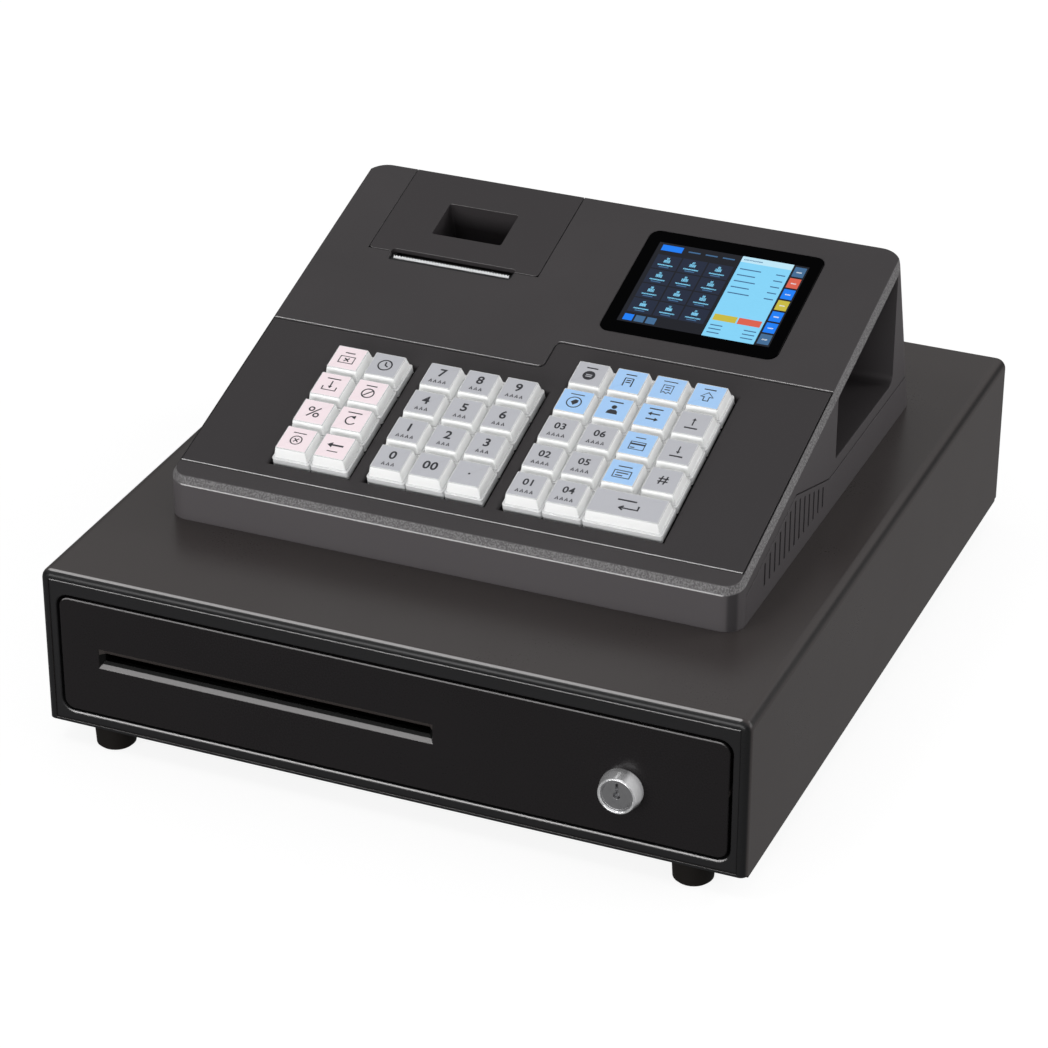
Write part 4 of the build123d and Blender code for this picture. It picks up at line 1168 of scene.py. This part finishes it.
@dataclass
class Keyboard(SubAssembly):
    """Keys in three wells of the inlay."""

    pitch: float = 19.05 * MM
    first_row: float = 30.9 * MM
    gap: float = 9.0 * MM
    skirt: float = 18.8 * MM
    skirt_low: float = -2.4 * MM
    skirt_high: float = 1.6 * MM
    corner: float = 1.3 * MM
    shoulder: float = 0.95 * MM
    step: float = 0.4 * MM
    crown: float = 14.9 * MM
    height: float = 7.2 * MM
    rim: float = 0.28 * MM
    stem: float = 7.0 * MM
    stem_length: float = 10.5 * MM
    soft_edge: float = 0.14 * MM
    card_margin: float = 0.3 * MM
    clear_rise: float = 0.2 * MM
    print_gap: float = 0.03 * MM
    top_reach: float = 0.1 * MM
    level: float = 0.98
    lit_depth: float = 14.0 * MM
    pink: tuple[str, ...] = ("clear", "vat", "received", "escape", "backspace", "refund", "void")
    blue: tuple[str, ...] = ("discount", "clerk", "feed", "cheque", "card", "exchange", "receipt", "shift")
    names: tuple[tuple[tuple[str, ...], ...], ...] = (
        (("clear", "vat", "received", "escape"), ("backspace", "refund", "void", "time")),
        (("0", "1", "4", "7"), ("00", "2", "5", "8"), ("point", "3", "6", "9")),
        (
            ("dept_01", "dept_02", "dept_03", "discount", "lookup"),
            ("dept_04", "dept_05", "dept_06", "clerk", "feed"),
            ("", "cheque", "card", "exchange", "receipt"),
            ("", "subtotal", "page_down", "page_up", "shift"),
        ),
    )
    finish_of: ClassVar[dict[str, str]] = {"key_plate": "black_plastic"}

    def tint(self, name: str) -> KeyTint:
        """Card colour of a key."""
        return KeyTint.PINK if name in self.pink else KeyTint.BLUE if name in self.blue else KeyTint.GREY

    def on_top(self, lift: float, rise: float) -> bool:
        """Whether a face that points up by `lift`, with its middle at `rise`, is a key's top."""
        return lift > self.level and rise > self.height - self.top_reach

    def blank(self, name: str, cells: int) -> Piece:
        """One blank key of one or two cells, flat at the origin.

        Args:
            name: Name of the blank.
            cells: Key cells that it covers.

        Returns:
            The key: a skirt, a shoulder, a tapering cap with its card face, and a stem.
        """
        extra = (cells - 1) * self.pitch
        wide, deep = self.skirt + extra, self.skirt
        low = Vector((-wide / 2, -deep / 2, self.skirt_low))
        key = Bench.block(name, low, Vector((wide / 2, deep / 2, self.skirt_high)))
        Bench.round_corners(key, 2, self.corner)
        with Bench.editing(key):
            Bench.pick(key, lambda face: face.normal.z > Bench.lined_up)
            bpy.ops.mesh.inset(thickness=self.shoulder)
            Bench.raise_by(self.step)
            cap_wide, cap_deep = wide - 2 * self.shoulder, deep - 2 * self.shoulder
            taper = ((self.crown + extra) / cap_wide, self.crown / cap_deep)
            Bench.raise_by(self.height - self.skirt_high - self.step, taper)
        with Bench.editing(key):
            Bench.pick(key, lambda face: face.normal.z < -Bench.lined_up)
            bpy.ops.mesh.inset(thickness=(deep - self.stem) / 2 - self.corner / 2)
            narrow = self.stem / (self.stem + extra)
            bpy.ops.transform.resize(value=(narrow, 1, 1), center_override=(0, 0, 0))
            Bench.raise_by(-self.stem_length)
        Bench.ease(key, self.soft_edge)
        with Bench.editing(key):
            Bench.pick(key, lambda face: self.on_top(face.normal.z, face.calc_center_median().z))
            bpy.ops.mesh.inset(thickness=self.rim)
        finish_of = {KeyPart.CAP: self.finishes.get("key_white"), KeyPart.CLEAR: self.finishes.get("key_clear")}
        for part in KeyPart:
            key.data.materials.append(finish_of.get(part))
        half_x, half_y = (self.crown + extra) / 2 - self.rim, self.crown / 2 - self.rim
        for face in key.data.polygons:
            x, y, z = face.center
            inside = abs(x) < half_x - self.card_margin and abs(y) < half_y - self.card_margin
            if inside and self.on_top(face.normal.z, z):
                face.material_index = KeyPart.CARD.value
            elif z < self.skirt_high + self.clear_rise:
                face.material_index = KeyPart.CLEAR.value
        return key

    def card(self, tint: KeyTint) -> Material:
        """Printed card under the clear cap.

        Args:
            tint: Its colour.

        Returns:
            Its material.
        """
        name, colour = f"card_{tint.name.lower()}", screen_colour(*tint.value)
        look = {"roughness": 0.3, "grain": 0.4 * MM, "relief": 0.002 * MM, "drift": 0.01, "coat": 0.15}
        return self.finishes.add(Grained(name, colour, **look))

    def add_key(self, blank: Piece, name: str, x: float, along: float) -> None:
        """Place one finished key with its card and its printed mark.

        Args:
            blank: The blank key that is copied.
            name: Name of the key, without key_.
            x: Its place across the deck.
            along: Its place up the deck.
        """
        node = f"key_{name}"
        key = Bench.twin(blank, f"cap_{name}")
        key.data.materials[KeyPart.CARD.value] = self.card(self.tint(name))
        mark = Printer(self.finishes.get("ink")).print(f"mark_{name}", MARKS[name])
        mark.data.transform(Matrix.Translation((0, 0, self.height + self.print_gap)))
        key = Bench.join(f"cap_{name}", [key, mark])
        self.deck.lay(key, x, along)
        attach(key, node)
        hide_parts(node)
        self.built.append(key)

    def build(self) -> None:
        """Model the two blanks and set out every key."""
        single, double = self.blank("blank_single", 1), self.blank("blank_double", 2)
        total = sum(len(group) for group in self.names) * self.pitch + 2 * self.gap
        left = -total / 2
        for group in self.names:
            for column, names in enumerate(group):
                for row, name in enumerate(names):
                    if name:
                        x = left + (column + 0.5) * self.pitch
                        self.add_key(single, name, x, self.first_row + row * self.pitch)
            left += len(group) * self.pitch + self.gap
        self.add_key(double, "enter", left - self.gap - self.pitch, self.first_row)
        for blank in (single, double):
            bpy.data.objects.remove(blank)

    def dress(self, nodes: Nodes) -> None:
        """Give the inlay and the plates under the keys their finishes, with a painted highlight on the inlay's front
        edges.

        Args:
            nodes: The CAD nodes by name.
        """
        super().dress(nodes)
        # Painted highlight on the inlay's edges between the front and the top, near its front.
        lit = Facing(PAINTED_HIGHLIGHT_PALE, end=self.deck.front + self.lit_depth)
        inlay = Grained(
            "inlay_grain", (0.0332, 0.0300, 0.0315), roughness=0.50, specular=0.22, edge=0.9 * MM, layers=(lit,)
        )
        self.paint(nodes["keyboard_panel"], self.finishes.add(inlay))


class ScreenTint(Enum):
    """Colours of the picture on the screen."""

    NIGHT = (6, 10, 22)
    TILE = (21, 33, 56)
    SKY = (136, 218, 255)
    PALE = (196, 238, 255)
    AZURE = (4, 128, 252)
    STEEL = (64, 108, 150)
    CORAL = (226, 98, 76)
    MUSTARD = (206, 190, 62)
    WHITE = (236, 244, 250)


Spot = tuple[float, float, float, float, ScreenTint]


@dataclass(frozen=True)
class Group:
    """Spots of the picture that repeat across and up.

    Places and sizes are shares of the picture; a spot is left, low, right, high and tint.
    """

    spots: tuple[Spot, ...]
    start: Point = (0.0, 0.0)
    step: Point = (0.0, 0.0)
    across: int = 1
    up: int = 1

    def laid(self) -> Iterator[Spot]:
        """Every spot at its place."""
        for column in range(self.across):
            for row in range(self.up):
                x, y = self.start[0] + column * self.step[0], self.start[1] + row * self.step[1]
                for left, low, right, high, tint in self.spots:
                    yield (x + left, y + low, x + right, y + high, tint)


COMMANDS = (
    ScreenTint.STEEL, ScreenTint.AZURE, ScreenTint.AZURE, ScreenTint.MUSTARD,
    ScreenTint.AZURE, ScreenTint.CORAL, ScreenTint.STEEL,
)
PICTURE: tuple[Group, ...] = (
    Group(((0, 0, 1, 1, ScreenTint.NIGHT),)),
    # article buttons, each with a small figure and two lines
    Group(
        (
            (0, 0, 0.162, 0.172, ScreenTint.TILE),
            (0.058, 0.082, 0.1, 0.118, ScreenTint.SKY),
            (0.07, 0.122, 0.088, 0.146, ScreenTint.SKY),
            (0.03, 0.044, 0.13, 0.058, ScreenTint.SKY),
            (0.045, 0.02, 0.11, 0.032, ScreenTint.STEEL),
        ),
        start=(0.03, 0.125), step=(0.172, 0.185), across=3, up=4,
    ),
    # header and footer of the article side
    Group(((0.03, 0.905, 0.17, 0.975, ScreenTint.AZURE),)),
    Group(((0, 0, 0.08, 0.015, ScreenTint.STEEL),), start=(0.21, 0.93), step=(0.115, 0), across=3),
    Group(((0.03, 0.02, 0.092, 0.095, ScreenTint.AZURE),)),
    Group(((0, 0, 0.062, 0.075, ScreenTint.STEEL),), start=(0.105, 0.02), step=(0.075, 0), across=2),
    # list of sales, its two buttons and its totals
    Group(((0.56, 0, 0.9, 1, ScreenTint.SKY), (0.56, 0.93, 0.9, 1, ScreenTint.PALE))),
    Group(((0.575, 0.955, 0.7, 0.97, ScreenTint.STEEL),)),
    Group(((0, 0, 0.14, 0.013, ScreenTint.STEEL),), start=(0.58, 0.84), step=(0, -0.15), across=1, up=3),
    Group(((0, 0, 0.12, 0.013, ScreenTint.STEEL),), start=(0.58, 0.765), step=(0, -0.15), across=1, up=2),
    Group(((0, 0, 0.06, 0.013, ScreenTint.STEEL),), start=(0.82, 0.84), step=(0, -0.075), across=1, up=5),
    Group(((0.575, 0.2, 0.725, 0.275, ScreenTint.MUSTARD), (0.735, 0.2, 0.885, 0.275, ScreenTint.CORAL))),
    Group(((0, 0, 0.08, 0.012, ScreenTint.STEEL),), start=(0.58, 0.135), step=(0.22, -0.045), across=2, up=3),
    # commands down the right edge
    *(
        Group(
            ((0, 0, 0.075, 0.12, tint), (0.02, 0.05, 0.055, 0.064, ScreenTint.WHITE)), start=(0.915, 0.02 + row * 0.14)
        )
        for row, tint in enumerate(COMMANDS)
    ),
)


@dataclass
class Display(SubAssembly):
    """Glossy window with a till's picture behind it."""

    left: float = 23.0 * MM
    right: float = 97.9 * MM
    bottom: float = 153.0 * MM
    top: float = 211.3 * MM
    proud: float = 0.32 * MM
    leaf: float = 0.01 * MM
    backings: tuple[ScreenTint, ...] = (ScreenTint.TILE, ScreenTint.SKY)
    finish_of: ClassVar[dict[str, str]] = {"display_screen": "screen_glass"}

    def build(self) -> None:
        """Make every spot of the picture and join them into one piece."""
        tints = list(ScreenTint)
        lights = [self.finishes.add(Glow(f"screen_{tint.name.lower()}", screen_colour(*tint.value))) for tint in tints]
        width, length = self.right - self.left, self.top - self.bottom
        parts = []
        for x0, y0, x1, y1, tint in (spot for group in PICTURE for spot in group.laid()):
            leaves = 0 if not parts else 1 if tint in self.backings else 2
            middle = ((x0 + x1) / 2 * width, (y0 + y1) / 2 * length, leaves * self.leaf)
            part = Bench.sheet("spot", middle, (x1 - x0) * width, (y1 - y0) * length)
            for light in lights:
                part.data.materials.append(light)
            part.data.polygons[0].material_index = tints.index(tint)
            parts.append(part)
        picture = Bench.join("screen_picture", parts)
        self.deck.lay(picture, self.left, self.bottom, self.proud)
        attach(picture, "cabinet")
        self.built.append(picture)


@dataclass
class CashDrawer(SubAssembly):
    """Drawer front, tray, till insert and lock."""

    body: float = 7.9 * MM
    body_length: float = 18.0 * MM
    bore: float = 6.68 * MM
    rim_inside: float = 7.5 * MM
    face_level: float = 6.75 * MM
    face_reach: float = 0.1 * MM
    ring_sides: int = 96
    ring_smooth: float = math.radians(22)
    slot_level: float = 49.7 * MM
    slot_half: float = 1.85 * MM
    slot_lip: float = 1.4 * MM
    slot_brow: float = 3.2 * MM
    slot_depth: float = 0.25 * MM
    finish_of: ClassVar[dict[str, str]] = {
        "drawer_tray": "casing_steel",
        "till_insert": "till_plastic",
        "note_clips": "black_plastic",
        "lock_plug": "plug_face",
    }

    @property
    def ring_profile(self) -> tuple[Point, ...]:
        """Rings of the lock's flange, from its seat over its rim into its bore.

        Returns:
            Radius and height of each ring.
        """
        flange = path(9.8, 0.0, 9.8, 2.4, 9.65, 2.9, 8.8, 6.6, 8.55, 7.15, 8.2, 7.4, 7.9, 7.4, 7.65, 7.2)
        face = ((self.rim_inside, self.face_level), (self.bore, self.face_level), (self.bore, 5.2 * MM))
        return (*((radius * MM, height * MM) for radius, height in flange), *face)

    def lock_ring(self) -> Piece:
        """Plated barrel of the lock: a body behind the panel and a flange with a rolled rim in front.

        Returns:
            The ring, made round the Z axis with its face up.
        """
        piece = Bench.disc("lock_ring", self.body, -self.body_length, self.ring_sides)
        with Bench.editing(piece):
            Bench.pick(piece, lambda face: True)
            Bench.raise_by(self.body_length)
            radius, height = self.body, 0.0
            for wanted, level in self.ring_profile:
                Bench.raise_by(level - height, (wanted / radius, wanted / radius), (0, 0, level))
                radius, height = wanted, level
            bpy.ops.mesh.delete(type="FACE")
        Bench.hold(piece)
        bpy.ops.object.shade_smooth_by_angle(angle=self.ring_smooth)
        return piece

    def build(self) -> None:
        """Build the lock's visible ring."""
        piece = self.lock_ring()
        for face in piece.data.polygons:
            reach = math.hypot(face.center.x, face.center.y)
            if self.bore < reach < self.rim_inside and abs(face.center.z - self.face_level) < self.face_reach:
                face.material_index = 1
        low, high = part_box("lock_barrel")
        middle = ((low[0] + high[0]) / 2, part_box("drawer_front")[0][1], (low[2] + high[2]) / 2)
        piece.data.transform(Matrix.Translation(middle) @ Matrix.Rotation(math.radians(90), 4, "X"))
        piece.data.materials.append(self.finishes.get("nickel"))
        piece.data.materials.append(self.finishes.get("plug_face"))
        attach(piece, "drawer")
        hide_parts("lock_barrel")
        self.built.append(piece)

    def dress(self, nodes: Nodes) -> None:
        """Finish the tray, and the panel with painted shade inside its slot's mouth and a painted reflection under its
        brow.

        Args:
            nodes: The CAD nodes by name.
        """
        super().dress(nodes)
        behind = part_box("drawer_front")[0][1] + self.slot_depth
        low, high = self.slot_level - self.slot_half, self.slot_level + self.slot_half
        layers = (
            # Painted highlight on the panel's edges between the front and the top.
            Facing(PAINTED_HIGHLIGHT_GREY, strength=0.5),
            # Painted shade inside the slot, and a painted reflection on the brow above it.
            Band((0.003, 0.003, 0.003), low=low - self.slot_lip, high=high, behind=behind),
            Band((0.046, 0.040, 0.038), low=high, high=high + self.slot_brow, behind=behind),
        )
        panel = Grained(
            "panel_black", (0.0100, 0.0089, 0.0094),
            roughness=0.28, specular=0.16, grain=0.9 * MM, edge=0.6 * MM, layers=layers,
        )
        self.paint(nodes["drawer_front"], self.finishes.add(panel))


@dataclass
class Cabinet(SubAssembly):
    """Steel casing, bezel, feet and latch, with the screws and the blank plate of the rear panel."""

    screw_radius: float = 3.0 * MM
    screw_sides: int = 32
    shank: float = 0.55
    shank_depth: float = 1.6 * MM
    head_depth: float = 0.3 * MM
    head_flare: float = 1.82
    crown_share: float = 0.94
    recess: float = 1.3
    skin: float = 0.02 * MM
    screw_columns: tuple[float, ...] = (-155 * MM, -52 * MM, 52 * MM, 155 * MM)
    screw_rows: tuple[float, ...] = (22 * MM, 82 * MM)
    plate_low: Point = (88 * MM, 36 * MM)
    plate_high: Point = (138 * MM, 66 * MM)
    plate_depth: float = 0.5 * MM
    plate_corner: float = 1.5 * MM
    finish_of: ClassVar[dict[str, str]] = {
        "cabinet_shell": "casing_paint",
        "front_frame": "bezel_paint",
        "rubber_feet": "foot_rubber",
        "latch_solenoid": "casing_steel",
        "latch_hook": "casing_steel",
    }

    def screw(self, name: str) -> Piece:
        """A countersunk screw.

        Args:
            name: Name of the screw.

        Returns:
            The screw at the origin, facing up and flush with the panel that it holds.
        """
        piece = Bench.disc(name, self.shank * self.screw_radius, -self.shank_depth, self.screw_sides)
        with Bench.editing(piece):
            Bench.pick(piece, lambda face: True)
            flare = (self.head_flare, self.head_flare)
            Bench.raise_by(self.shank_depth - self.head_depth, flare, (0, 0, -self.head_depth))
            Bench.raise_by(self.head_depth)
            Bench.raise_by(self.skin, (self.crown_share, self.crown_share), (0, 0, self.skin))
        # The ring is the joint round the head; the cross is painted shade, ink lines in place of the shade in the
        # head's cross recess.
        reach = self.recess
        lines = (path(-reach, 0, reach, 0), path(0, -reach, 0, reach), ring(0, 0, self.screw_radius / MM))
        recess = Printer(self.finishes.get("ink")).print("recess", Mark(lines, pen=0.4))
        recess.data.transform(Matrix.Translation((0, 0, self.skin)))
        piece.data.materials.append(self.finishes.get("casing_steel"))
        return Bench.join(name, [piece, recess])

    def build(self) -> None:
        """Set the screws of the rear panel and a blank plate on it."""
        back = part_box("cabinet_shell")[1][1]
        master = self.screw("screw")
        copies = []
        for x, z in ((x, z) for x in self.screw_columns for z in self.screw_rows):
            copy = Bench.twin(master, "screw_copy")
            copy.data.transform(Matrix.Translation((x, back, z)) @ Matrix.Rotation(math.radians(-90), 4, "X"))
            copies.append(copy)
        screws = Bench.join("rear_screws", copies)
        bpy.data.objects.remove(master)
        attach(screws, "cabinet")
        low = Vector((self.plate_low[0], back - self.plate_depth, self.plate_low[1]))
        plate = Bench.block("rear_plate", low, Vector((self.plate_high[0], back + self.skin, self.plate_high[1])))
        Bench.round_corners(plate, 1, self.plate_corner)
        plate.data.materials.append(self.finishes.get("bare_plate"))
        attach(plate, "cabinet")
        self.built += [screws, plate]


@dataclass
class Console(SubAssembly):
    """Housing and base of the console, with the receipt printer."""

    bevel_drop: float = 3.4 * MM
    nose_depth: float = 12.0 * MM
    seam_start: float = 60.0 * MM
    seam_end: float = 135.0 * MM
    finish_of: ClassVar[dict[str, str]] = {
        "printer_cover": "deck_grain",
        "printer_frame": "black_plastic",
        "tear_bar": "tear_steel",
        "platen_roller": "roller_rubber",
        "paper_roll": "till_paper",
    }

    def dress(self, nodes: Nodes) -> None:
        """Finish the printer, and the housing and the base with painted light: lighter uprights, a painted reflection
        in specks on the rim, painted shade at the nose's corner and painted highlights on edges.

        Args:
            nodes: The CAD nodes by name.
        """
        super().dress(nodes)
        deck, front = self.deck, self.deck.front
        layers = (
            # Painted light: the uprights are lighter than the tops.
            Upright((0.071, 0.065, 0.068)),
            # Painted reflection: the bevel under the deck is lighter, in specks.
            SlopedRim(
                (0.075, 0.071, 0.073), light=(0.165, 0.160, 0.162),
                front=front, height=deck.height, angle=deck.angle, drop=self.bevel_drop,
            ),
            # Painted shade: a darker band where the nose turns from the front to the right side.
            Facing((0.036, 0.033, 0.035), way=(0.60, -0.80, 0.0), low=0.93, high=0.99),
            # Painted highlight on the fold under the front bevel, within the nose.
            Facing((0.62, 0.61, 0.61), way=(0.0, -0.971, 0.240), low=0.977, high=0.990, end=front + self.nose_depth),
            # Painted highlight on edges that face the front along the middle seam of the deck.
            Facing(
                PAINTED_HIGHLIGHT_PALE, way=(-0.05, -0.62, 0.78), low=0.950, high=0.985,
                start=front + self.seam_start, end=front + self.seam_end,
            ),
        )
        grain = Grained(
            "housing_grain", (0.0395, 0.0356, 0.0373), roughness=0.46, specular=0.28, grain=0.6 * MM, relief=0.04 * MM,
            speckle=0.12, edge=0.8 * MM, layers=layers,
        )
        for node in ("console_housing", "console_base"):
            self.paint(nodes[node], self.finishes.add(grain))


# ---------------------------------------------------------------- studio
def outwards(azimuth: float, elevation: float) -> Vector:
    """Direction from the object, by its angles in radians from the front and the floor."""
    level = math.cos(elevation)
    return Vector((math.sin(azimuth) * level, -math.cos(azimuth) * level, math.sin(elevation)))


@dataclass
class SoftBox:
    """One soft lamp that faces the object."""

    name: str
    azimuth: float
    elevation: float
    distance: float
    width: float
    height: float
    radiance: float
    target: Way = (0.0, 0.0, 0.1)
    watts_each: ClassVar[float] = 4.0

    def build(self) -> None:
        """Hang the lamp and turn it to its target."""
        lamp = bpy.data.lights.new(self.name, "AREA")
        lamp.shape = "RECTANGLE"
        lamp.size = self.width
        lamp.size_y = self.height
        lamp.energy = self.radiance * self.watts_each * self.width * self.height
        holder = bpy.data.objects.new(self.name, lamp)
        away = outwards(math.radians(self.azimuth), math.radians(self.elevation))
        holder.location = Vector(self.target) + away * self.distance
        holder.rotation_euler = away.to_track_quat("Z", "Y").to_euler()
        bpy.context.scene.collection.objects.link(holder)


@dataclass
class Studio:
    """Camera, pale floor, white surround and soft lamps."""

    azimuth: float = math.radians(22.76)
    elevation: float = math.radians(28.545)
    roll: float = math.radians(0.171)
    place: Way = (0.5808, -1.4113, 0.8866)
    lens: float = 125.908
    sensor: float = 36.0
    reach: Point = (0.05, 50.0)
    floor_size: float = 12.0
    white: float = 1.03
    ambient: float = 0.42
    mirrored: float = 0.70
    mirrored_low: float = 0.12
    mirrored_rise: Point = (0.30, 0.46)
    mirrored_floor: float = 0.22
    floor_colour: float = 0.2
    floor_glow: float = 0.87
    floor_bounce: float = 0.22
    floor_fade: Point = (0.45, 0.9)
    lamps: tuple[SoftBox, ...] = (
        SoftBox("front_low", -8, 6, 1.7, 1.7, 0.7, 4.6),
        SoftBox("front_high", -35, 58, 1.7, 0.5, 0.18, 9.0),
        SoftBox("side_low", 108, 12, 1.7, 1.3, 0.6, 2.8),
        SoftBox("side_high", 125, 33, 1.7, 0.5, 0.4, 5.0),
        SoftBox("top_box", 0, 85, 1.8, 1.0, 1.0, 0.65),
    )

    def camera(self) -> None:
        """Set up the camera."""
        back = outwards(self.azimuth, self.elevation)
        right = Vector((0, 0, 1)).cross(back).normalized()
        up = back.cross(right)
        cosine, sine = math.cos(self.roll), math.sin(self.roll)
        data = bpy.data.cameras.new("camera")
        data.sensor_fit = "AUTO"
        data.sensor_width = self.sensor
        data.lens = self.lens
        data.clip_start, data.clip_end = self.reach
        camera = bpy.data.objects.new("camera", data)
        bpy.context.scene.collection.objects.link(camera)
        axes = Matrix((right * cosine + up * sine, up * cosine - right * sine, back)).transposed().to_4x4()
        camera.matrix_world = Matrix.Translation(self.place) @ axes
        bpy.context.scene.camera = camera

    def light(self, paint: Paint, mirrored: Term | float, white: float, rest: Term | float) -> Term:
        """Strength of the background's light.

        Args:
            paint: Tree that holds the nodes.
            mirrored: Share of it that reflections show.
            white: Strength for rays that see it straight or through glass.
            rest: Least strength for any ray.

        Returns:
            The strength for each kind of ray.
        """
        seen = paint.ray("Camera").maximum(paint.ray("Transmission")).maximum(paint.ray("Glossy") * mirrored)
        return (seen * white).maximum(rest)

    def diffuse(self, paint: Paint) -> Term:
        """Light that the surround gives to all rays but reflections."""
        return (1 - paint.ray("Glossy")) * self.ambient

    def floor(self) -> None:
        """Lay a wide white floor that keeps the object's soft shadow."""
        floor = Bench.sheet("floor", (0, 0, 0), self.floor_size, self.floor_size)
        paint = Paint("floor_white")
        near_light = self.light(paint, self.mirrored_floor, self.floor_glow, self.floor_bounce)
        far_light = self.light(paint, self.mirrored_floor, self.white, self.diffuse(paint))
        glow = paint.node("ShaderNodeEmission", {}, Strength=near_light)
        matt = paint.node("ShaderNodeBsdfDiffuse", {}, Color=(self.floor_colour,) * 3)
        near = paint.node("ShaderNodeAddShader", {}, matt.outputs[0], glow.outputs[0])
        far = paint.node("ShaderNodeEmission", {}, Strength=far_light)
        away = paint.node("ShaderNodeVectorMath", {"operation": "LENGTH"}, paint.place()).outputs["Value"]
        fade = Term(paint, away).between(*self.floor_fade).maximum(paint.ray("Glossy"))
        mixed = paint.node("ShaderNodeMixShader", {}, fade, near.outputs[0], far.outputs[0])
        paint.plug(paint.output.inputs["Surface"], mixed.outputs[0])
        floor.data.materials.append(paint.material)

    def surround(self) -> None:
        """Light everything from a plain white surround."""
        bpy.context.scene.world = bpy.data.worlds.new("surround")
        paint = Paint.of_world(bpy.context.scene.world)
        # reflections of the surround are darker low down, as they are in a studio
        rise = paint.node("ShaderNodeSeparateXYZ", {}, paint.node("ShaderNodeTexCoord", {}).outputs["Generated"])
        share = Term(paint, rise.outputs[2]).between(*self.mirrored_rise)
        mirrored = share * (self.mirrored - self.mirrored_low) + self.mirrored_low
        strength = self.light(paint, mirrored, self.white, self.diffuse(paint))
        light = paint.node("ShaderNodeBackground", {}, Color=EVEN, Strength=strength)
        paint.node("ShaderNodeOutputWorld", {}, Surface=light.outputs[0])

    def build(self) -> None:
        """Set up the whole studio."""
        self.camera()
        self.surround()
        self.floor()
        for lamp in self.lamps:
            lamp.build()
        bpy.context.scene.view_settings.view_transform = "Standard"


def main() -> None:
    """Build the register's looks round its frame."""
    logging.basicConfig(level=logging.INFO, format="%(message)s")
    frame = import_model()
    Bench.hold()
    finishes, deck = Finishes(), Deck.of_frame()
    Studio().build()
    for kind in (Cabinet, CashDrawer, Keyboard, Display, Console):
        assembly = kind(finishes, deck)
        assembly.build()
        assembly.dress(frame["nodes"])
        assembly.report()


if __name__ == "__main__":
    main()
